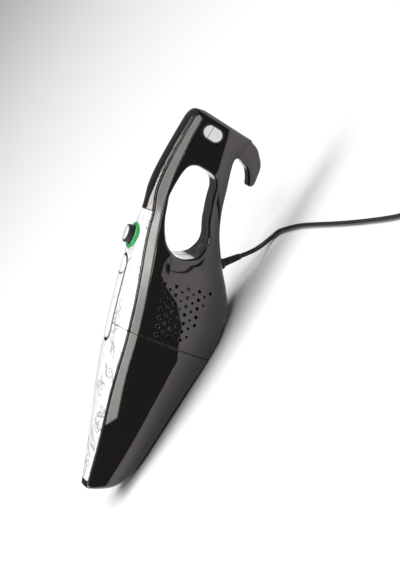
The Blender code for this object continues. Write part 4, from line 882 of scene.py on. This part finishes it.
def spline_pts(pts, per=8):
    P = [np.array(p, float) for p in pts]
    P = [2 * P[0] - P[1]] + P + [2 * P[-1] - P[-2]]
    out = []
    for i in range(1, len(P) - 2):
        p0, p1, p2, p3 = P[i - 1:i + 3]
        t0, t1 = 0.0, np.linalg.norm(p1 - p0) ** 0.5
        t2 = t1 + np.linalg.norm(p2 - p1) ** 0.5
        t3 = t2 + np.linalg.norm(p3 - p2) ** 0.5
        for t in np.linspace(t1, t2, per, endpoint=False):
            a1 = (t1 - t) / (t1 - t0) * p0 + (t - t0) / (t1 - t0) * p1
            a2 = (t2 - t) / (t2 - t1) * p1 + (t - t1) / (t2 - t1) * p2
            a3 = (t3 - t) / (t3 - t2) * p2 + (t - t2) / (t3 - t2) * p3
            b1 = (t2 - t) / (t2 - t0) * a1 + (t - t0) / (t2 - t0) * a2
            b2 = (t3 - t) / (t3 - t1) * a2 + (t - t1) / (t3 - t1) * a3
            out.append((t2 - t) / (t2 - t1) * b1 + (t - t1) / (t2 - t1) * b2)
    out.append(P[-2])
    return out


# 18 turns and a half in four layers, wound counter-clockwise from the left side
IN = (48.4, 43.65, 38.9, 34.15, 29.4)
OUT = (31.8, 36.5, 41.25, 46.0)
order = [(r, 2.6) for r in IN] + [(r, 6.95) for r in OUT] + [(r, 11.3) for r in IN] + [(r, 15.65) for r in OUT]
turn_pts = []
N = 36
total_k = int(len(order) * N + N * 0.5)
for k in range(total_k + 1):
    q = k / N
    i = min(int(q), len(order) - 1)
    f = q - i
    r, z = order[i]
    if i + 1 < len(order) and f > 0.72:
        w = (f - 0.72) / 0.28
        w = w * w * (3 - 2 * w)
        r += (order[i + 1][0] - r) * w
        z += (order[i + 1][1] - z) * w
    a = math.pi + 2 * math.pi * q
    turn_pts.append(np.array((COIL_C[0] + r * math.cos(a), COIL_C[1] + r * math.sin(a), z)))
lead = [np.array(p, float) for p in ((307.4, -385.0, 15.2), (305.0, -370.0, 13.0), (302.5, -354.0, 9.6), (301.3, -338.0, 7.4),
                                     (301.0, -326.0, 7.0), (301.0, -318.0, 7.0))]
path = spline_pts(route[:-1] + [tuple(turn_pts[0] + np.array((-0.4, 14.0, 0.0)))] + [tuple(turn_pts[0])], per=5)[:-1]
tail = spline_pts([tuple(turn_pts[-1])] + [tuple(p) for p in lead], per=5)[1:]
path = [np.array(p) for p in path] + turn_pts + [np.array(p) for p in tail]
path = np.array(path)
path[:, 2] = np.maximum(path[:, 2], CORD_R + 0.05)
cu = bpy.data.curves.new("mains_cord", 'CURVE')
cu.dimensions = '3D'
cu.bevel_depth = CORD_R * MM
cu.bevel_resolution = 3
cu.use_fill_caps = True
sp = cu.splines.new('POLY')
sp.points.add(len(path) - 1)
for k, p in enumerate(path):
    sp.points[k].co = (*(p * MM), 1.0)
sp.use_smooth = True
cu.materials.append(CORD)
cord = bpy.data.objects.new("mains_cord", cu)
COLL.objects.link(cord)
place(cord, "motor_unit", "cord_jacket", "power_cord", "cord_coil", "plug_lead")

# =====================================================================
# floor, light and camera
# =====================================================================
floor_mat = mat("floor", (246, 246, 247), 0.55, grain=60, bump=0.01, tint=0.006, spec=0.2)
bpy.ops.mesh.primitive_plane_add(size=1)
floor = bpy.context.object
floor.name = "floor"
floor.scale = (9, 9, 1)
floor.location = (0, 0, -0.0006)
bpy.ops.object.transform_apply(location=True, scale=True)
floor.data.materials.append(floor_mat)


def area(name, loc, target, size, size_y, power, colour=(1, 1, 1)):
    la = bpy.data.lights.new(name, 'AREA')
    la.shape = 'RECTANGLE'
    la.size, la.size_y = size, size_y
    la.energy = power
    la.color = colour
    ob = bpy.data.objects.new(name, la)
    ob.location = loc
    ob.rotation_euler = (Vector(target) - Vector(loc)).to_track_quat('-Z', 'Y').to_euler()
    bpy.context.scene.collection.objects.link(ob)
    return ob


area("key", (-0.9, 0.6, 2.2), (0, 0, 0.05), 1.6, 1.2, 33)
area("top", (0.3, 0.1, 2.4), (0, -0.1, 0.05), 2.6, 2.2, 40)
area("front", (0.5, -1.7, 1.9), (0, 0, 0.08), 0.9, 0.7, 14)
area("left_strip", (-1.7, -0.2, 0.9), (0, 0, 0.08), 0.5, 1.2, 6)
world = bpy.data.worlds.new("soft")
bpy.context.scene.world = world
world.use_nodes = True
bg = world.node_tree.nodes["Background"]
bg.inputs["Color"].default_value = (1.0, 1.0, 1.0, 1.0)
bg.inputs["Strength"].default_value = 0.12

T = Vector((0.0444, 0, 0.0428))
back = Vector((0, -0.951, 0.309)).normalized()
r0, u0 = Vector((1, 0, 0)), Vector((0, 0.309, 0.951)).normalized()
R = (0.518 * r0 - 0.856 * u0).normalized()
U = (0.856 * r0 + 0.518 * u0).normalized()
cam = bpy.data.cameras.new("camera")
cam.lens = 129.06
cam.sensor_width = 36
cam.sensor_fit = 'AUTO'
cam.clip_start, cam.clip_end = 0.1, 50
camera = bpy.data.objects.new("camera", cam)
m3 = Matrix((R, U, back)).transposed()
camera.matrix_world = Matrix.Translation(T + back * 2.2) @ m3.to_4x4()
bpy.context.scene.collection.objects.link(camera)
bpy.context.scene.camera = camera
bpy.context.scene.view_settings.view_transform = 'Standard'
